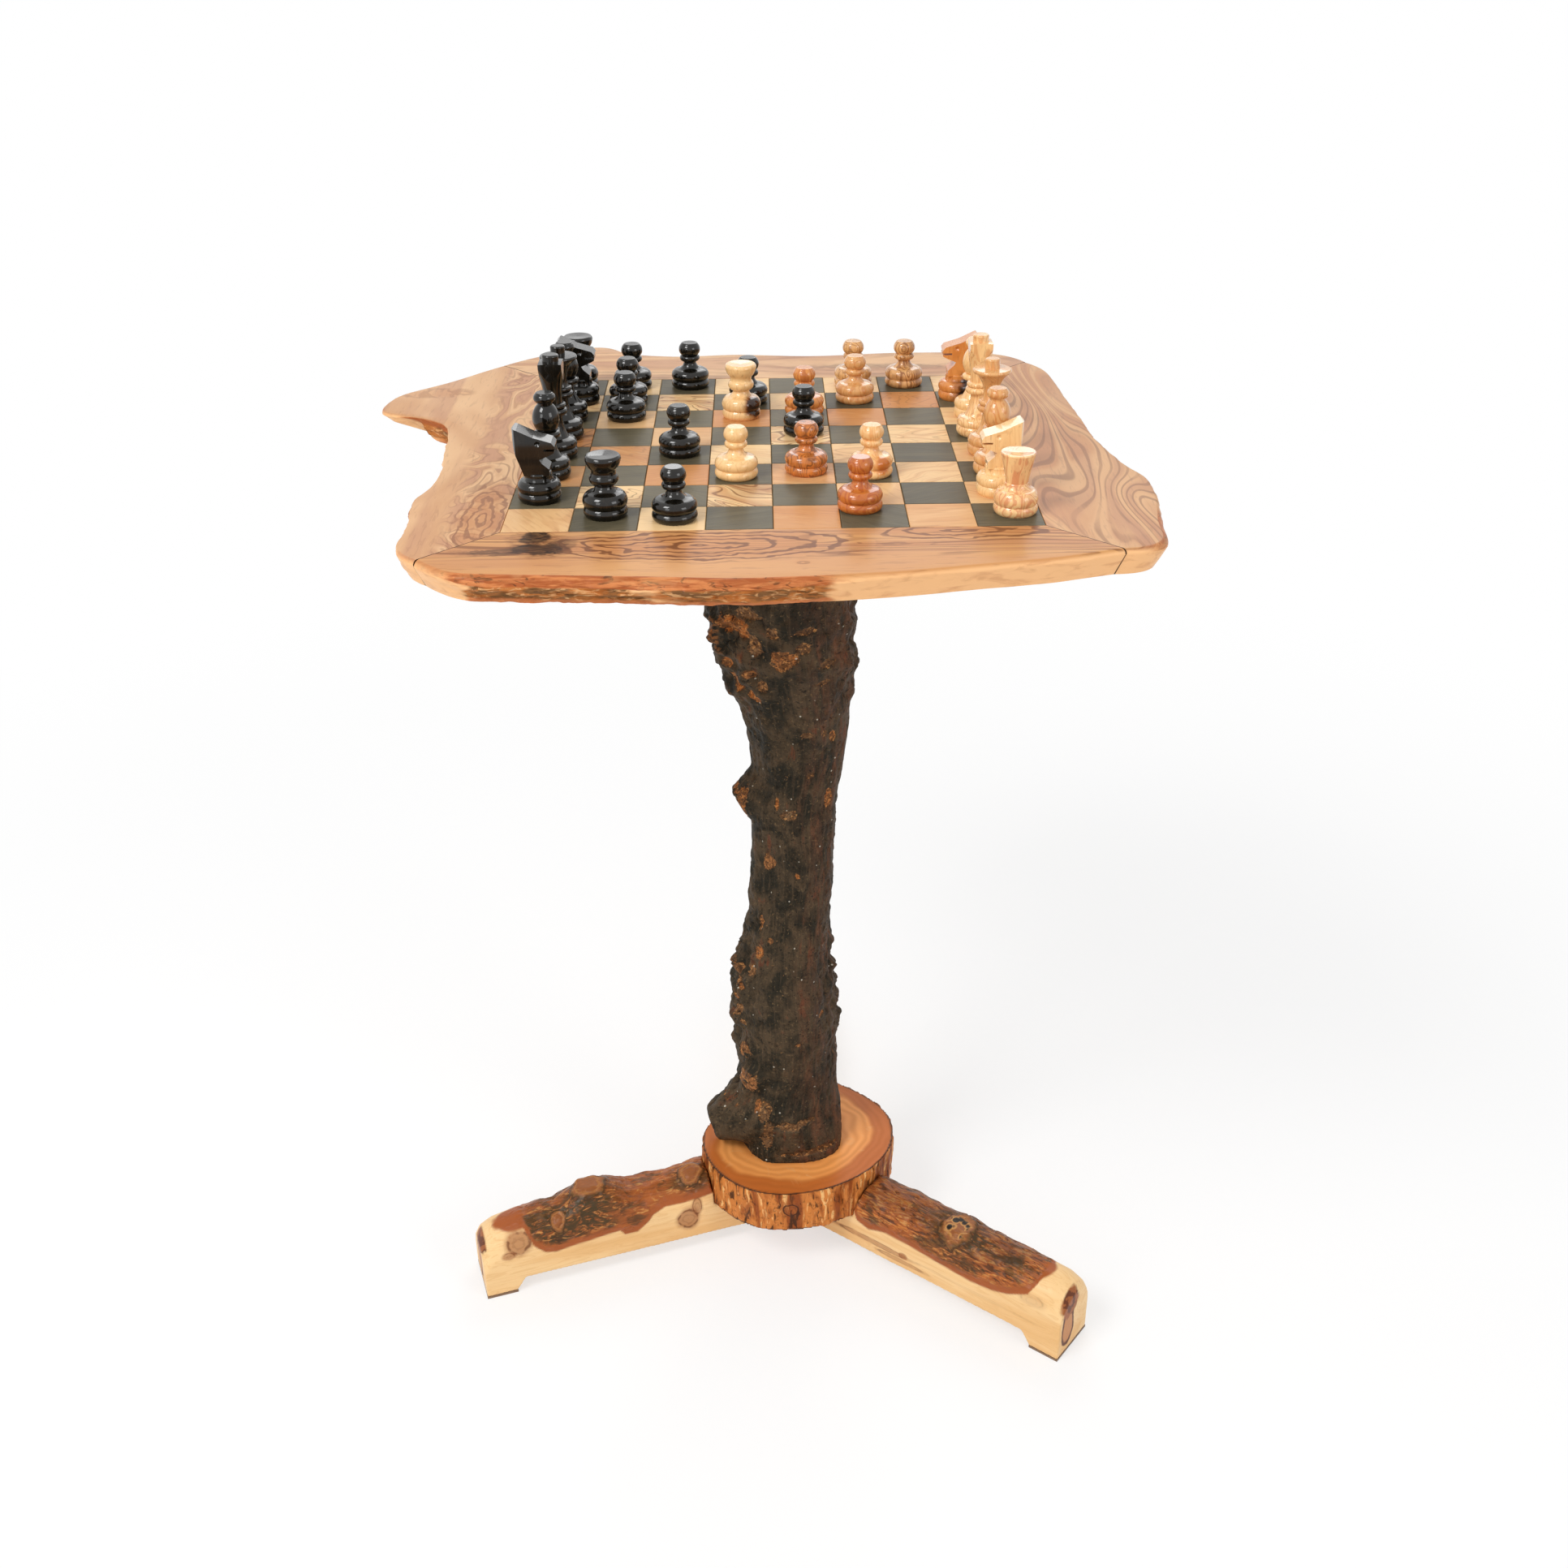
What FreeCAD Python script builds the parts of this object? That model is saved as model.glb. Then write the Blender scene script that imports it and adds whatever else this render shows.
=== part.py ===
import FreeCAD, Part
import math
import os

# A rustic chess table with its chess set. Four mitred live-edge rails frame an inlaid board on a plywood
# panel. A bark-covered trunk carries the top and stands on a round slice, and three half-log legs carry
# the slice. X is to the right, Y away from the viewer and Z up, with the floor at zero, in millimetres.

Vector = FreeCAD.Vector
UP = Vector(0, 0, 1)
HALF_TURN = 180
QUARTER_TURN = 90
FULL_TURN = 360
OVERRUN = 3.0

# The board
SQUARE = 42.0
SQUARES_A_SIDE = 8
SQUARE_THICKNESS = 6.0
SQUARE_JOINT = 0.3
BOARD_HALF = SQUARE * SQUARES_A_SIDE / 2

# The top and its rails
TABLE_HEIGHT = 700.0
PANEL_THICKNESS = 12.0
TOP_THICKNESS = SQUARE_THICKNESS + PANEL_THICKNESS
RAIL_WIDTH = 48.0
EDGE_EASE = 2.0
EDGE_UNDERCUT = 7.0
PANEL_TONGUE = 6.0
TONGUE_THICKNESS = 5.0
TONGUE_CLEARANCE = 0.2
SPLINE_LENGTH = 34.0
SPLINE_WIDTH = 22.0
SPLINE_THICKNESS = 4.0
SPLINE_CLEARANCE = 0.2
SPLINE_PLACE_SHARE = 0.55

# The steel flange that joins the column to the panel
FLANGE_DIAMETER = 84.0
FLANGE_THICKNESS = 4.0
FLANGE_BOSS_DIAMETER = 22.0
FLANGE_BOSS_HEIGHT = 14.0
FLANGE_SCREWS = 4
FLANGE_SCREW_CIRCLE_SHARE = 0.76
FLANGE_SCREW_DIAMETER = 4.5
FLANGE_SCREW_BITE = 9.0
FLANGE_SCREW_HEAD_DIAMETER = 9.0
FLANGE_SCREW_HEAD_HEIGHT = 2.6
STUD_DIAMETER = 10.0
STUD_BITE = 60.0
FASTENER_CLEARANCE = 0.15
RECESS_CLEARANCE = 0.5

# The trunk column, placed from the middle of the board
COLUMN_DIAMETER = 66.0
COLUMN_WANDER = 12.0
COLUMN_SECTION_POINTS = 12
SECTIONS_A_TURN_STEP = 3

# The slice under the column
BASE_OFFSET = 17.0
SLICE_RADIUS = 84.0
SLICE_THICKNESS = 40.0
SLICE_UNDERSIDE = 44.0

# The bolt that holds the column down on the slice
BOLT_DIAMETER = 10.0
BOLT_BITE = 80.0
BOLT_HEAD_WIDTH = 16.0
BOLT_HEAD_SIDES = 6
BOLT_HEAD_HEIGHT = 6.5
WASHER_DIAMETER = 28.0
WASHER_THICKNESS = 2.5
BOLT_POCKET_DEPTH = 12.0

# The half-log legs, measured outward from the middle of the slice
LEG_WIDTH = 47.0
LEG_HEIGHT = 70.0
LEG_LENGTH = 284.0
LEG_TONGUE_START = 36.0
LEG_SHOULDER_GAP = 0.5
FOOT_LENGTH = 26.0
FOOT_STEP = 12.0
FOOT_SLOPE = 8.0
PAD_THICKNESS = 2.0
LEG_SCREW_DIAMETER = 6.0
LEG_SCREW_BITE = 24.0
LEG_SCREW_HEAD_DIAMETER = 11.0
LEG_SCREW_HEAD_HEIGHT = 4.0
LEG_SCREW_POCKET = 9.0
LEG_SCREW_SETBACK = 12.0
LEG_SCREW_SPACING = 20.0
LEG_SCREWS = 2

# Each leg's direction, counted from the right, and its length as a share of the longest leg's
LEG_WAY_SHARES = {
    "left_leg": (197.8, 1.0),
    "right_leg": (322.0, 0.968),
    "back_leg": (91.0, 0.958),
}

# The chess pieces
PIECE_BASE_RADIUS = 14.0
KING_HEIGHT = 70.5
QUEEN_HEIGHT = 65.5
BISHOP_HEIGHT = 57.0
KNIGHT_HEIGHT = 48.5
ROOK_HEIGHT = 39.2
PAWN_HEIGHT = 34.0

# How far each mitre runs out from the board's corner, as a share of the rail width
CORNER_SHARES = {
    "front_left": 0.99,
    "front_right": 0.91,
    "back_right": 0.86,
    "back_left": 1.01,
}

# The live edges between the mitres: along the rail as a share of board half plus rail width,
# and out from the board as a share of the rail width
FRONT_EDGE_SHARES = [
    (-0.93, 1.32), (-0.87, 1.50), (-0.75, 1.60), (-0.55, 1.68), (-0.32, 1.76), (-0.06, 1.84),
    (0.16, 1.72), (0.39, 1.57), (0.61, 1.36), (0.77, 1.22), (0.87, 1.08),
]
RIGHT_EDGE_SHARES = [
    (-0.89, 1.53), (-0.80, 1.57), (-0.68, 1.65), (-0.55, 1.72), (-0.45, 1.75), (-0.37, 1.73),
    (-0.27, 1.59), (-0.15, 1.47), (0.04, 1.34), (0.25, 1.30), (0.53, 1.22), (0.77, 1.17), (0.85, 1.12),
]
BACK_EDGE_SHARES = [
    (-0.85, 1.43), (-0.64, 1.56), (-0.50, 1.57), (-0.16, 1.43), (0.04, 1.53), (0.13, 1.57),
    (0.34, 1.49), (0.47, 1.58), (0.55, 1.72), (0.62, 2.08), (0.68, 2.14), (0.77, 1.93), (0.88, 1.58),
]
LEFT_EDGE_SHARES = [
    (-0.86, 1.52), (-0.78, 1.80), (-0.70, 2.15), (-0.62, 2.45), (-0.52, 2.59), (-0.45, 2.61),
    (-0.40, 2.44), (-0.36, 2.02), (-0.28, 1.58), (-0.18, 1.40), (-0.04, 1.34), (0.10, 1.28),
    (0.26, 1.22), (0.40, 1.28), (0.49, 1.38), (0.65, 1.34), (0.79, 1.31), (0.87, 1.32),
]

# The trunk from its top down: depth as a share of the column's length, the middle's place to the right
# as a share of the wander, and the thickness as a share of the column diameter
COLUMN_SHARES = [
    (0.00, 0.45, 1.66), (0.16, 0.45, 1.66), (0.225, 0.78, 1.60), (0.28, 1.08, 1.36), (0.335, 1.40, 1.15),
    (0.39, 1.44, 1.03), (0.45, 1.15, 1.05), (0.50, 1.12, 1.00), (0.61, 0.88, 1.01), (0.67, 0.60, 1.08),
    (0.73, 0.46, 1.27), (0.785, 0.60, 1.29), (0.84, 0.52, 1.22), (0.90, 0.60, 1.20), (0.95, 0.75, 1.28),
    (1.00, 0.90, 1.36),
]
COLUMN_ROUND_SHARES = [1.00, 1.04, 0.97, 1.02, 1.05, 0.96, 1.00, 1.03, 0.98, 1.04, 0.97, 0.99]

# Two broken branches and a root: depth as a share of the column's length, direction, reach and radius as
# shares of the column diameter, rise as a share of the reach, and the tip's radius as a share of the radius
STUB_SHARES = [
    (0.405, 184.0, 0.66, 0.46, -0.60, 0.50),
    (0.895, 206.0, 0.68, 0.20, 0.00, 0.65),
    (0.935, 190.0, 1.02, 0.72, -0.30, 0.32),
]

# The slice's outline, counter-clockwise from the right, as shares of its radius
SLICE_SHARES = [
    0.985, 0.95, 0.89, 0.90, 0.925, 0.90, 0.875, 0.88, 0.985, 1.03, 1.04, 1.02, 0.96, 0.93, 0.935, 0.97,
]

# The legs' backs from the shoulder to the foot's end: place as a share of the leg's length and the
# bark's crest as a share of the leg's height, then how far the round back falls as a share of the width
LEG_BACK_SHARES = {
    "left_leg": [
        (0.10, 1.02), (0.32, 1.02), (0.42, 0.97), (0.54, 0.98), (0.61, 1.10), (0.68, 1.09), (0.76, 0.95),
        (0.88, 0.91), (0.95, 0.85), (0.985, 0.76), (1.00, 0.64),
    ],
    "right_leg": [
        (0.10, 1.00), (0.30, 1.00), (0.42, 1.01), (0.55, 1.00), (0.62, 1.02), (0.74, 0.99), (0.86, 0.98),
        (0.95, 0.96), (0.985, 0.90), (1.00, 0.80),
    ],
    "back_leg": [
        (0.10, 1.00), (0.32, 1.00), (0.46, 0.97), (0.60, 1.03), (0.74, 0.98), (0.88, 0.94), (0.95, 0.90),
        (0.985, 0.84), (1.00, 0.74),
    ],
}
LEG_ARCH_SHARE = 0.47

# Turned outlines: radius as a share of the base radius, height as a share of the piece's height.
# Two entries are the end of a straight run, four are an arc's middle and its end.
FOOT_SHARES = [(0.90, 0.0)]
PAWN_SHARES = [
    (1.03, 0.095, 0.93, 0.180), (1.02, 0.300, 0.80, 0.405), (0.70, 0.412), (0.46, 0.460, 0.34, 0.560),
    (0.36, 0.592), (0.545, 0.657, 0.43, 0.722), (0.58, 0.860, 0.46, 0.972), (0.42, 0.992, 0.36, 1.0),
    (0.0, 1.0),
]
ROOK_SHARES = [
    (1.00, 0.085, 0.92, 0.160), (1.01, 0.275, 0.82, 0.385), (0.72, 0.395), (0.52, 0.430, 0.42, 0.500),
    (0.43, 0.515), (0.655, 0.590, 0.565, 0.690), (0.555, 0.735, 0.62, 0.785), (0.735, 0.845, 0.80, 0.920),
    (0.79, 0.972, 0.72, 1.0), (0.66, 1.0), (0.0, 0.985),
]
CUP_ROOK_SHARES = [
    (1.00, 0.080, 0.93, 0.155), (0.99, 0.270, 0.83, 0.380), (0.74, 0.390), (0.60, 0.425, 0.53, 0.490),
    (0.50, 0.505), (0.63, 0.740, 0.78, 0.965), (0.785, 0.985, 0.75, 1.0), (0.68, 1.0), (0.0, 0.980),
]
BISHOP_SHARES = [
    (1.02, 0.060, 0.94, 0.125), (1.00, 0.175, 0.78, 0.240), (0.64, 0.25), (0.44, 0.34, 0.36, 0.46),
    (0.39, 0.48), (0.64, 0.515, 0.44, 0.555), (0.64, 0.71, 0.36, 0.862), (0.37, 0.885),
    (0.52, 0.94, 0.42, 0.985), (0.40, 0.995, 0.36, 1.0), (0.0, 1.0),
]
QUEEN_SHARES = [
    (1.05, 0.055, 0.97, 0.110), (1.03, 0.155, 0.80, 0.210), (0.66, 0.22), (0.44, 0.32, 0.37, 0.44),
    (0.40, 0.455), (0.64, 0.487, 0.46, 0.52), (0.58, 0.545, 0.42, 0.57), (0.43, 0.73, 0.88, 0.855),
    (0.93, 0.875, 0.88, 0.895), (0.36, 0.900), (0.36, 0.975), (0.345, 0.993, 0.29, 1.0),
    (0.0, 1.0),
]
KING_SHARES = [
    (1.05, 0.050, 0.97, 0.100), (1.03, 0.140, 0.80, 0.190), (0.66, 0.20), (0.46, 0.30, 0.39, 0.41),
    (0.42, 0.425), (0.66, 0.455, 0.48, 0.485), (0.60, 0.51, 0.44, 0.535), (0.52, 0.72, 0.80, 0.885),
    (0.82, 0.905, 0.78, 0.925), (0.40, 0.93), (0.40, 0.975), (0.385, 0.993, 0.33, 1.0),
    (0.0, 1.0),
]
KING_FLATS = 4
KING_FLAT_SHARE = 0.56
KING_FLAT_FOOT_SHARE = 0.60
KING_FLAT_TOP_SHARE = 0.928
KNIGHT_SHARES = [
    (1.00, 0.070, 0.93, 0.135), (1.00, 0.205, 0.80, 0.285), (0.67, 0.290), (0.63, 0.33, 0.63, 0.37),
    (0.60, 0.39), (0.0, 0.39),
]

# The knight's carved head seen from its side, facing right
KNIGHT_HEAD_SHARES = [
    (-0.58, 0.37), (-0.66, 0.45), (-0.89, 0.64), (-1.04, 0.81), (-1.00, 0.92), (-1.05, 0.975), (-0.93, 1.0),
    (-0.80, 0.985), (-0.07, 0.885), (0.74, 0.815), (0.88, 0.765), (0.85, 0.68), (0.62, 0.645), (0.16, 0.59),
    (0.26, 0.54), (0.58, 0.46), (0.56, 0.37),
]
KNIGHT_THICKNESS_SHARE = 1.10
KNIGHT_TURNED_SHARE = 1.05
MOUTH_PLACE_SHARE = 0.715
MOUTH_HEIGHT_SHARE = 0.014
MOUTH_DEPTH_SHARE = 0.62
EYE_PLACE_SHARES = (0.12, 0.80)
EYE_SIZE_SHARE = 0.13
EYE_DEPTH_SHARE = 0.10

# Where the pieces stand, in squares from the front left corner of the board
WHITE_PLACE_SHARES = {
    "king": [(7.48, 4.46)],
    "queen": [(7.55, 3.41)],
    "bishop": [(7.53, 2.45), (7.53, 5.48)],
    "knight": [(7.46, 1.48), (7.36, 6.60)],
    "rook": [(7.62, 0.60), (3.50, 5.60)],
    "pawn": [
        (5.31, 0.83), (3.44, 2.40), (4.55, 2.58), (5.57, 2.42),
        (4.60, 5.76), (5.52, 6.50), (5.54, 7.52), (6.47, 7.48),
    ],
}
BLACK_PLACE_SHARES = {
    "king": [(0.49, 3.52)],
    "queen": [(0.50, 4.52)],
    "bishop": [(0.48, 2.50), (0.50, 5.53)],
    "knight": [(0.44, 1.42), (0.62, 6.60)],
    "rook": [(1.50, 0.69), (0.52, 7.60)],
    "pawn": [
        (2.54, 0.48), (2.50, 3.58), (4.56, 4.61), (1.50, 5.58),
        (3.62, 6.48), (1.48, 6.52), (1.50, 7.50), (2.55, 7.53),
    ],
}

# Levels that several pieces share
TOP_UNDERSIDE = TABLE_HEIGHT - TOP_THICKNESS
PANEL_TOP = TABLE_HEIGHT - SQUARE_THICKNESS
SLICE_TOP = SLICE_UNDERSIDE + SLICE_THICKNESS
COLUMN_LENGTH = TOP_UNDERSIDE - SLICE_TOP
COLUMN_TOP_OFFSET = COLUMN_WANDER * COLUMN_SHARES[0][1]
COLUMN_FOOT_OFFSET = COLUMN_WANDER * COLUMN_SHARES[-1][1]
LEG_UNDERSIDE = PAD_THICKNESS + FOOT_STEP

nodes = {}


def polar(radius, degrees):
    """A flat offset of one length in one direction."""
    turn = math.radians(degrees)
    return Vector(radius * math.cos(turn), radius * math.sin(turn), 0)


def block(low, high):
    """A box between two corners."""
    return Part.makeBox(high.x - low.x, high.y - low.y, high.z - low.z, low)


def rod(diameter, foot, top, x, y):
    """An upright round bar between two levels."""
    return Part.makeCylinder(diameter / 2, top - foot, Vector(x, y, foot))


def closed_curve(points):
    """A smooth closed wire through points."""
    curve = Part.BSplineCurve()
    curve.interpolate(points, PeriodicFlag=True)
    return Part.Wire([curve.toShape()])


def fuse_all(first, others):
    """One clean solid from one shape and those that join it."""
    return first.multiFuse(others).removeSplitter()


# Rails

def rail_outline(edge_shares, start_share, end_share, inset, level):
    """One rail's outline as if it were the front one, with its live edge drawn in towards the middle."""
    reach = BOARD_HALF + RAIL_WIDTH
    start = BOARD_HALF + RAIL_WIDTH * start_share
    end = BOARD_HALF + RAIL_WIDTH * end_share
    edge = [Vector(-start, -start, 0)]
    for along, out in edge_shares:
        edge.append(Vector(reach * along, -BOARD_HALF - RAIL_WIDTH * out, 0))
    edge.append(Vector(end, -end, 0))
    drawn = []
    for point in edge:
        drawn.append(point * (1 - inset / point.Length) + UP * level)
    inner_left = Vector(-BOARD_HALF, -BOARD_HALF, level)
    inner_right = Vector(BOARD_HALF, -BOARD_HALF, level)
    live_edge = Part.BSplineCurve()
    live_edge.interpolate(drawn)
    return Part.Wire([
        Part.makeLine(inner_left, drawn[0]),
        live_edge.toShape(),
        Part.makeLine(drawn[-1], inner_right),
        Part.makeLine(inner_right, inner_left),
    ])


def rail(edge_shares, start_share, end_share, turn):
    """A live-edge board with eased top edge and undercut side, turned to its side of the board."""
    levels = [
        (EDGE_EASE, TABLE_HEIGHT),
        (0, TABLE_HEIGHT - EDGE_EASE),
        (EDGE_UNDERCUT, TOP_UNDERSIDE),
    ]
    outlines = []
    for inset, level in levels:
        outlines.append(rail_outline(edge_shares, start_share, end_share, inset, level))
    board = Part.makeLoft(outlines, True, True)
    board.rotate(Vector(0, 0, 0), UP, turn)
    return board


tongue_middle = (PANEL_TOP + TOP_UNDERSIDE) / 2
tongue_half = TONGUE_THICKNESS / 2
groove_reach = BOARD_HALF + PANEL_TONGUE + TONGUE_CLEARANCE
groove = block(
    Vector(-groove_reach, -groove_reach, tongue_middle - tongue_half - TONGUE_CLEARANCE),
    Vector(groove_reach, groove_reach, tongue_middle + tongue_half + TONGUE_CLEARANCE),
)


def spline(turn, corner_share, clearance):
    """A loose tongue that lies across one mitre."""
    out = (BOARD_HALF + RAIL_WIDTH * corner_share * SPLINE_PLACE_SHARE) * math.sqrt(2)
    half_width = SPLINE_WIDTH / 2 + clearance
    half_length = SPLINE_LENGTH / 2 + clearance
    half_thickness = SPLINE_THICKNESS / 2 + clearance
    tongue = block(
        Vector(out - half_width, -half_length, tongue_middle - half_thickness),
        Vector(out + half_width, half_length, tongue_middle + half_thickness),
    )
    tongue.rotate(Vector(0, 0, 0), UP, turn)
    return tongue


corner_turns = {"front_left": 225, "front_right": 315, "back_right": 45, "back_left": 135}
splines = []
spline_slots = []
for corner, turn in corner_turns.items():
    splines.append(spline(turn, CORNER_SHARES[corner], 0))
    spline_slots.append(spline(turn, CORNER_SHARES[corner], SPLINE_CLEARANCE))
nodes["mitre_splines"] = Part.makeCompound(splines)

rail_sides = [
    ("front_rail", FRONT_EDGE_SHARES, "front_left", "front_right"),
    ("right_rail", RIGHT_EDGE_SHARES, "front_right", "back_right"),
    ("back_rail", BACK_EDGE_SHARES, "back_right", "back_left"),
    ("left_rail", LEFT_EDGE_SHARES, "back_left", "front_left"),
]
for side, (name, edge_shares, start_corner, end_corner) in enumerate(rail_sides):
    board = rail(edge_shares, CORNER_SHARES[start_corner], CORNER_SHARES[end_corner], side * QUARTER_TURN)
    nodes[name] = board.cut(groove).cut(Part.makeCompound(spline_slots))

# Panel and squares

panel_core = block(
    Vector(-BOARD_HALF, -BOARD_HALF, TOP_UNDERSIDE),
    Vector(BOARD_HALF, BOARD_HALF, PANEL_TOP),
)
tongue_reach = BOARD_HALF + PANEL_TONGUE
panel_tongue = block(
    Vector(-tongue_reach, -tongue_reach, tongue_middle - tongue_half),
    Vector(tongue_reach, tongue_reach, tongue_middle + tongue_half),
)
panel = fuse_all(panel_core, [panel_tongue])

squares = {"light_squares": [], "dark_squares": []}
for column in range(SQUARES_A_SIDE):
    for row in range(SQUARES_A_SIDE):
        corner = Vector(column * SQUARE - BOARD_HALF, row * SQUARE - BOARD_HALF, PANEL_TOP)
        gap = Vector(SQUARE_JOINT / 2, SQUARE_JOINT / 2, 0)
        tile = block(corner + gap, corner + Vector(SQUARE, SQUARE, SQUARE_THICKNESS) - gap)
        shade = "dark_squares" if (column + row) % 2 else "light_squares"
        squares[shade].append(tile)
for shade, tiles in squares.items():
    nodes[shade] = Part.makeCompound(tiles)

# Flange, its screws and the stud

flange_foot = TOP_UNDERSIDE - FLANGE_THICKNESS
boss_foot = flange_foot - FLANGE_BOSS_HEIGHT
screw_head_foot = flange_foot - FLANGE_SCREW_HEAD_HEIGHT
screw_top = TOP_UNDERSIDE + FLANGE_SCREW_BITE
hole_growth = 2 * FASTENER_CLEARANCE
screw_circle = FLANGE_DIAMETER * FLANGE_SCREW_CIRCLE_SHARE
top_x = COLUMN_TOP_OFFSET
flange = fuse_all(
    rod(FLANGE_DIAMETER, flange_foot, TOP_UNDERSIDE, top_x, 0),
    [rod(FLANGE_BOSS_DIAMETER, boss_foot, TOP_UNDERSIDE, top_x, 0)],
)
flange = flange.cut(rod(STUD_DIAMETER + hole_growth, boss_foot - OVERRUN, TOP_UNDERSIDE + OVERRUN, top_x, 0))
flange_screws = []
for index in range(FLANGE_SCREWS):
    place = polar(screw_circle / 2, (index + 1 / 2) * FULL_TURN / FLANGE_SCREWS)
    x = top_x + place.x
    shank = rod(FLANGE_SCREW_DIAMETER, screw_head_foot, screw_top, x, place.y)
    head = rod(FLANGE_SCREW_HEAD_DIAMETER, screw_head_foot, flange_foot, x, place.y)
    flange_screws.append(fuse_all(head, [shank]))
    hole_foot = flange_foot - OVERRUN
    hole = rod(FLANGE_SCREW_DIAMETER + hole_growth, hole_foot, screw_top + FASTENER_CLEARANCE, x, place.y)
    flange = flange.cut(hole)
    panel = panel.cut(hole)
nodes["backing_panel"] = panel
nodes["top_flange"] = flange
nodes["flange_screws"] = Part.makeCompound(flange_screws)
stud_foot = boss_foot - STUD_BITE
nodes["column_stud"] = rod(STUD_DIAMETER, stud_foot, TOP_UNDERSIDE - FASTENER_CLEARANCE, top_x, 0)

# Trunk column

def column_middle(depth_share):
    """The trunk's middle at one depth."""
    for upper, lower in zip(COLUMN_SHARES, COLUMN_SHARES[1:]):
        if upper[0] <= depth_share <= lower[0]:
            blend = (depth_share - upper[0]) / (lower[0] - upper[0])
            offset = COLUMN_WANDER * (upper[1] + (lower[1] - upper[1]) * blend)
            return Vector(offset, 0, TOP_UNDERSIDE - COLUMN_LENGTH * depth_share)


def column_section(depth_share, thickness_share, order):
    """The trunk's outline at one depth, a little out of round, with its bulges winding downwards."""
    middle = column_middle(depth_share)
    points = []
    for index in range(COLUMN_SECTION_POINTS):
        uneven = COLUMN_ROUND_SHARES[(index + order) % COLUMN_SECTION_POINTS]
        radius = COLUMN_DIAMETER / 2 * thickness_share * uneven
        points.append(middle + polar(radius, index * FULL_TURN / COLUMN_SECTION_POINTS))
    return closed_curve(points)


def stub(depth_share, direction, reach_share, radius_share, rise_share, tip_share):
    """A broken branch or a root that starts at the trunk's middle and points out."""
    way = polar(COLUMN_DIAMETER * reach_share, direction)
    way.z = way.Length * rise_share
    radius = COLUMN_DIAMETER * radius_share
    return Part.makeCone(radius, radius * tip_share, way.Length, column_middle(depth_share), way)


sections = []
for order, (depth_share, offset_share, thickness_share) in enumerate(COLUMN_SHARES):
    sections.append(column_section(depth_share, thickness_share, order // SECTIONS_A_TURN_STEP))
trunk = Part.makeLoft(sections, True, True)
trunk = trunk.multiFuse([stub(*shares) for shares in STUB_SHARES])
recess_foot = screw_head_foot - RECESS_CLEARANCE
boss_pocket_foot = boss_foot - RECESS_CLEARANCE
recess_growth = 2 * RECESS_CLEARANCE
bolt_top = SLICE_TOP + BOLT_BITE
foot_x = COLUMN_FOOT_OFFSET
column_cuts = [
    rod(2 * COLUMN_LENGTH, SLICE_TOP - COLUMN_DIAMETER, SLICE_TOP, foot_x, 0),
    rod(FLANGE_DIAMETER + recess_growth, recess_foot, TOP_UNDERSIDE + OVERRUN, top_x, 0),
    rod(FLANGE_BOSS_DIAMETER + recess_growth, boss_pocket_foot, TOP_UNDERSIDE, top_x, 0),
    rod(STUD_DIAMETER + hole_growth, stud_foot - FASTENER_CLEARANCE, TOP_UNDERSIDE, top_x, 0),
    rod(BOLT_DIAMETER + hole_growth, SLICE_TOP - OVERRUN, bolt_top + FASTENER_CLEARANCE, foot_x, 0),
]
nodes["trunk_column"] = trunk.cut(column_cuts)

# Slice, bolt and washer

def slice_outline(growth, level):
    """The slice's outline at one level, grown on all sides."""
    points = []
    for index, share in enumerate(SLICE_SHARES):
        place = polar(SLICE_RADIUS * share + growth, index * FULL_TURN / len(SLICE_SHARES))
        points.append(place + Vector(BASE_OFFSET, 0, level))
    return Part.Face(closed_curve(points))


def slice_solid(growth, foot, top):
    """The slice, or a grown copy for cutting."""
    return slice_outline(growth, foot).extrude(UP * (top - foot))


pocket_top = SLICE_UNDERSIDE + BOLT_POCKET_DEPTH
head_top = pocket_top - WASHER_THICKNESS
head_foot = head_top - BOLT_HEAD_HEIGHT
base_slice = slice_solid(0, SLICE_UNDERSIDE, SLICE_TOP)
base_slice = base_slice.cut([
    rod(WASHER_DIAMETER + recess_growth, SLICE_UNDERSIDE - OVERRUN, pocket_top, foot_x, 0),
    rod(BOLT_DIAMETER + hole_growth, SLICE_UNDERSIDE, SLICE_TOP + OVERRUN, foot_x, 0),
])
washer = rod(WASHER_DIAMETER, head_top, pocket_top, foot_x, 0)
washer = washer.cut(rod(BOLT_DIAMETER + hole_growth, head_top - OVERRUN, pocket_top + OVERRUN, foot_x, 0))
nodes["column_washer"] = washer
head_corners = []
for index in range(BOLT_HEAD_SIDES + 1):
    corner_radius = BOLT_HEAD_WIDTH / 2 / math.cos(math.pi / BOLT_HEAD_SIDES)
    place = polar(corner_radius, index * FULL_TURN / BOLT_HEAD_SIDES)
    head_corners.append(place + Vector(foot_x, 0, head_foot))
bolt_head = Part.Face(Part.makePolygon(head_corners)).extrude(UP * BOLT_HEAD_HEIGHT)
nodes["column_bolt"] = fuse_all(bolt_head, [rod(BOLT_DIAMETER, head_foot, bolt_top, foot_x, 0)])

# Legs, their screws and the pads under the feet

def leg_section(place, crest):
    """A half log's outline at one place along the leg: sawn sides and a round bark back."""
    half = LEG_WIDTH / 2
    side = crest - LEG_WIDTH * LEG_ARCH_SHARE
    low_left = Vector(place, -half, PAD_THICKNESS)
    low_right = Vector(place, half, PAD_THICKNESS)
    side_left = Vector(place, -half, side)
    side_right = Vector(place, half, side)
    return Part.Wire([
        Part.makeLine(low_right, low_left),
        Part.makeLine(low_left, side_left),
        Part.Arc(side_left, Vector(place, 0, crest), side_right).toShape(),
        Part.makeLine(side_right, low_right),
    ])


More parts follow.
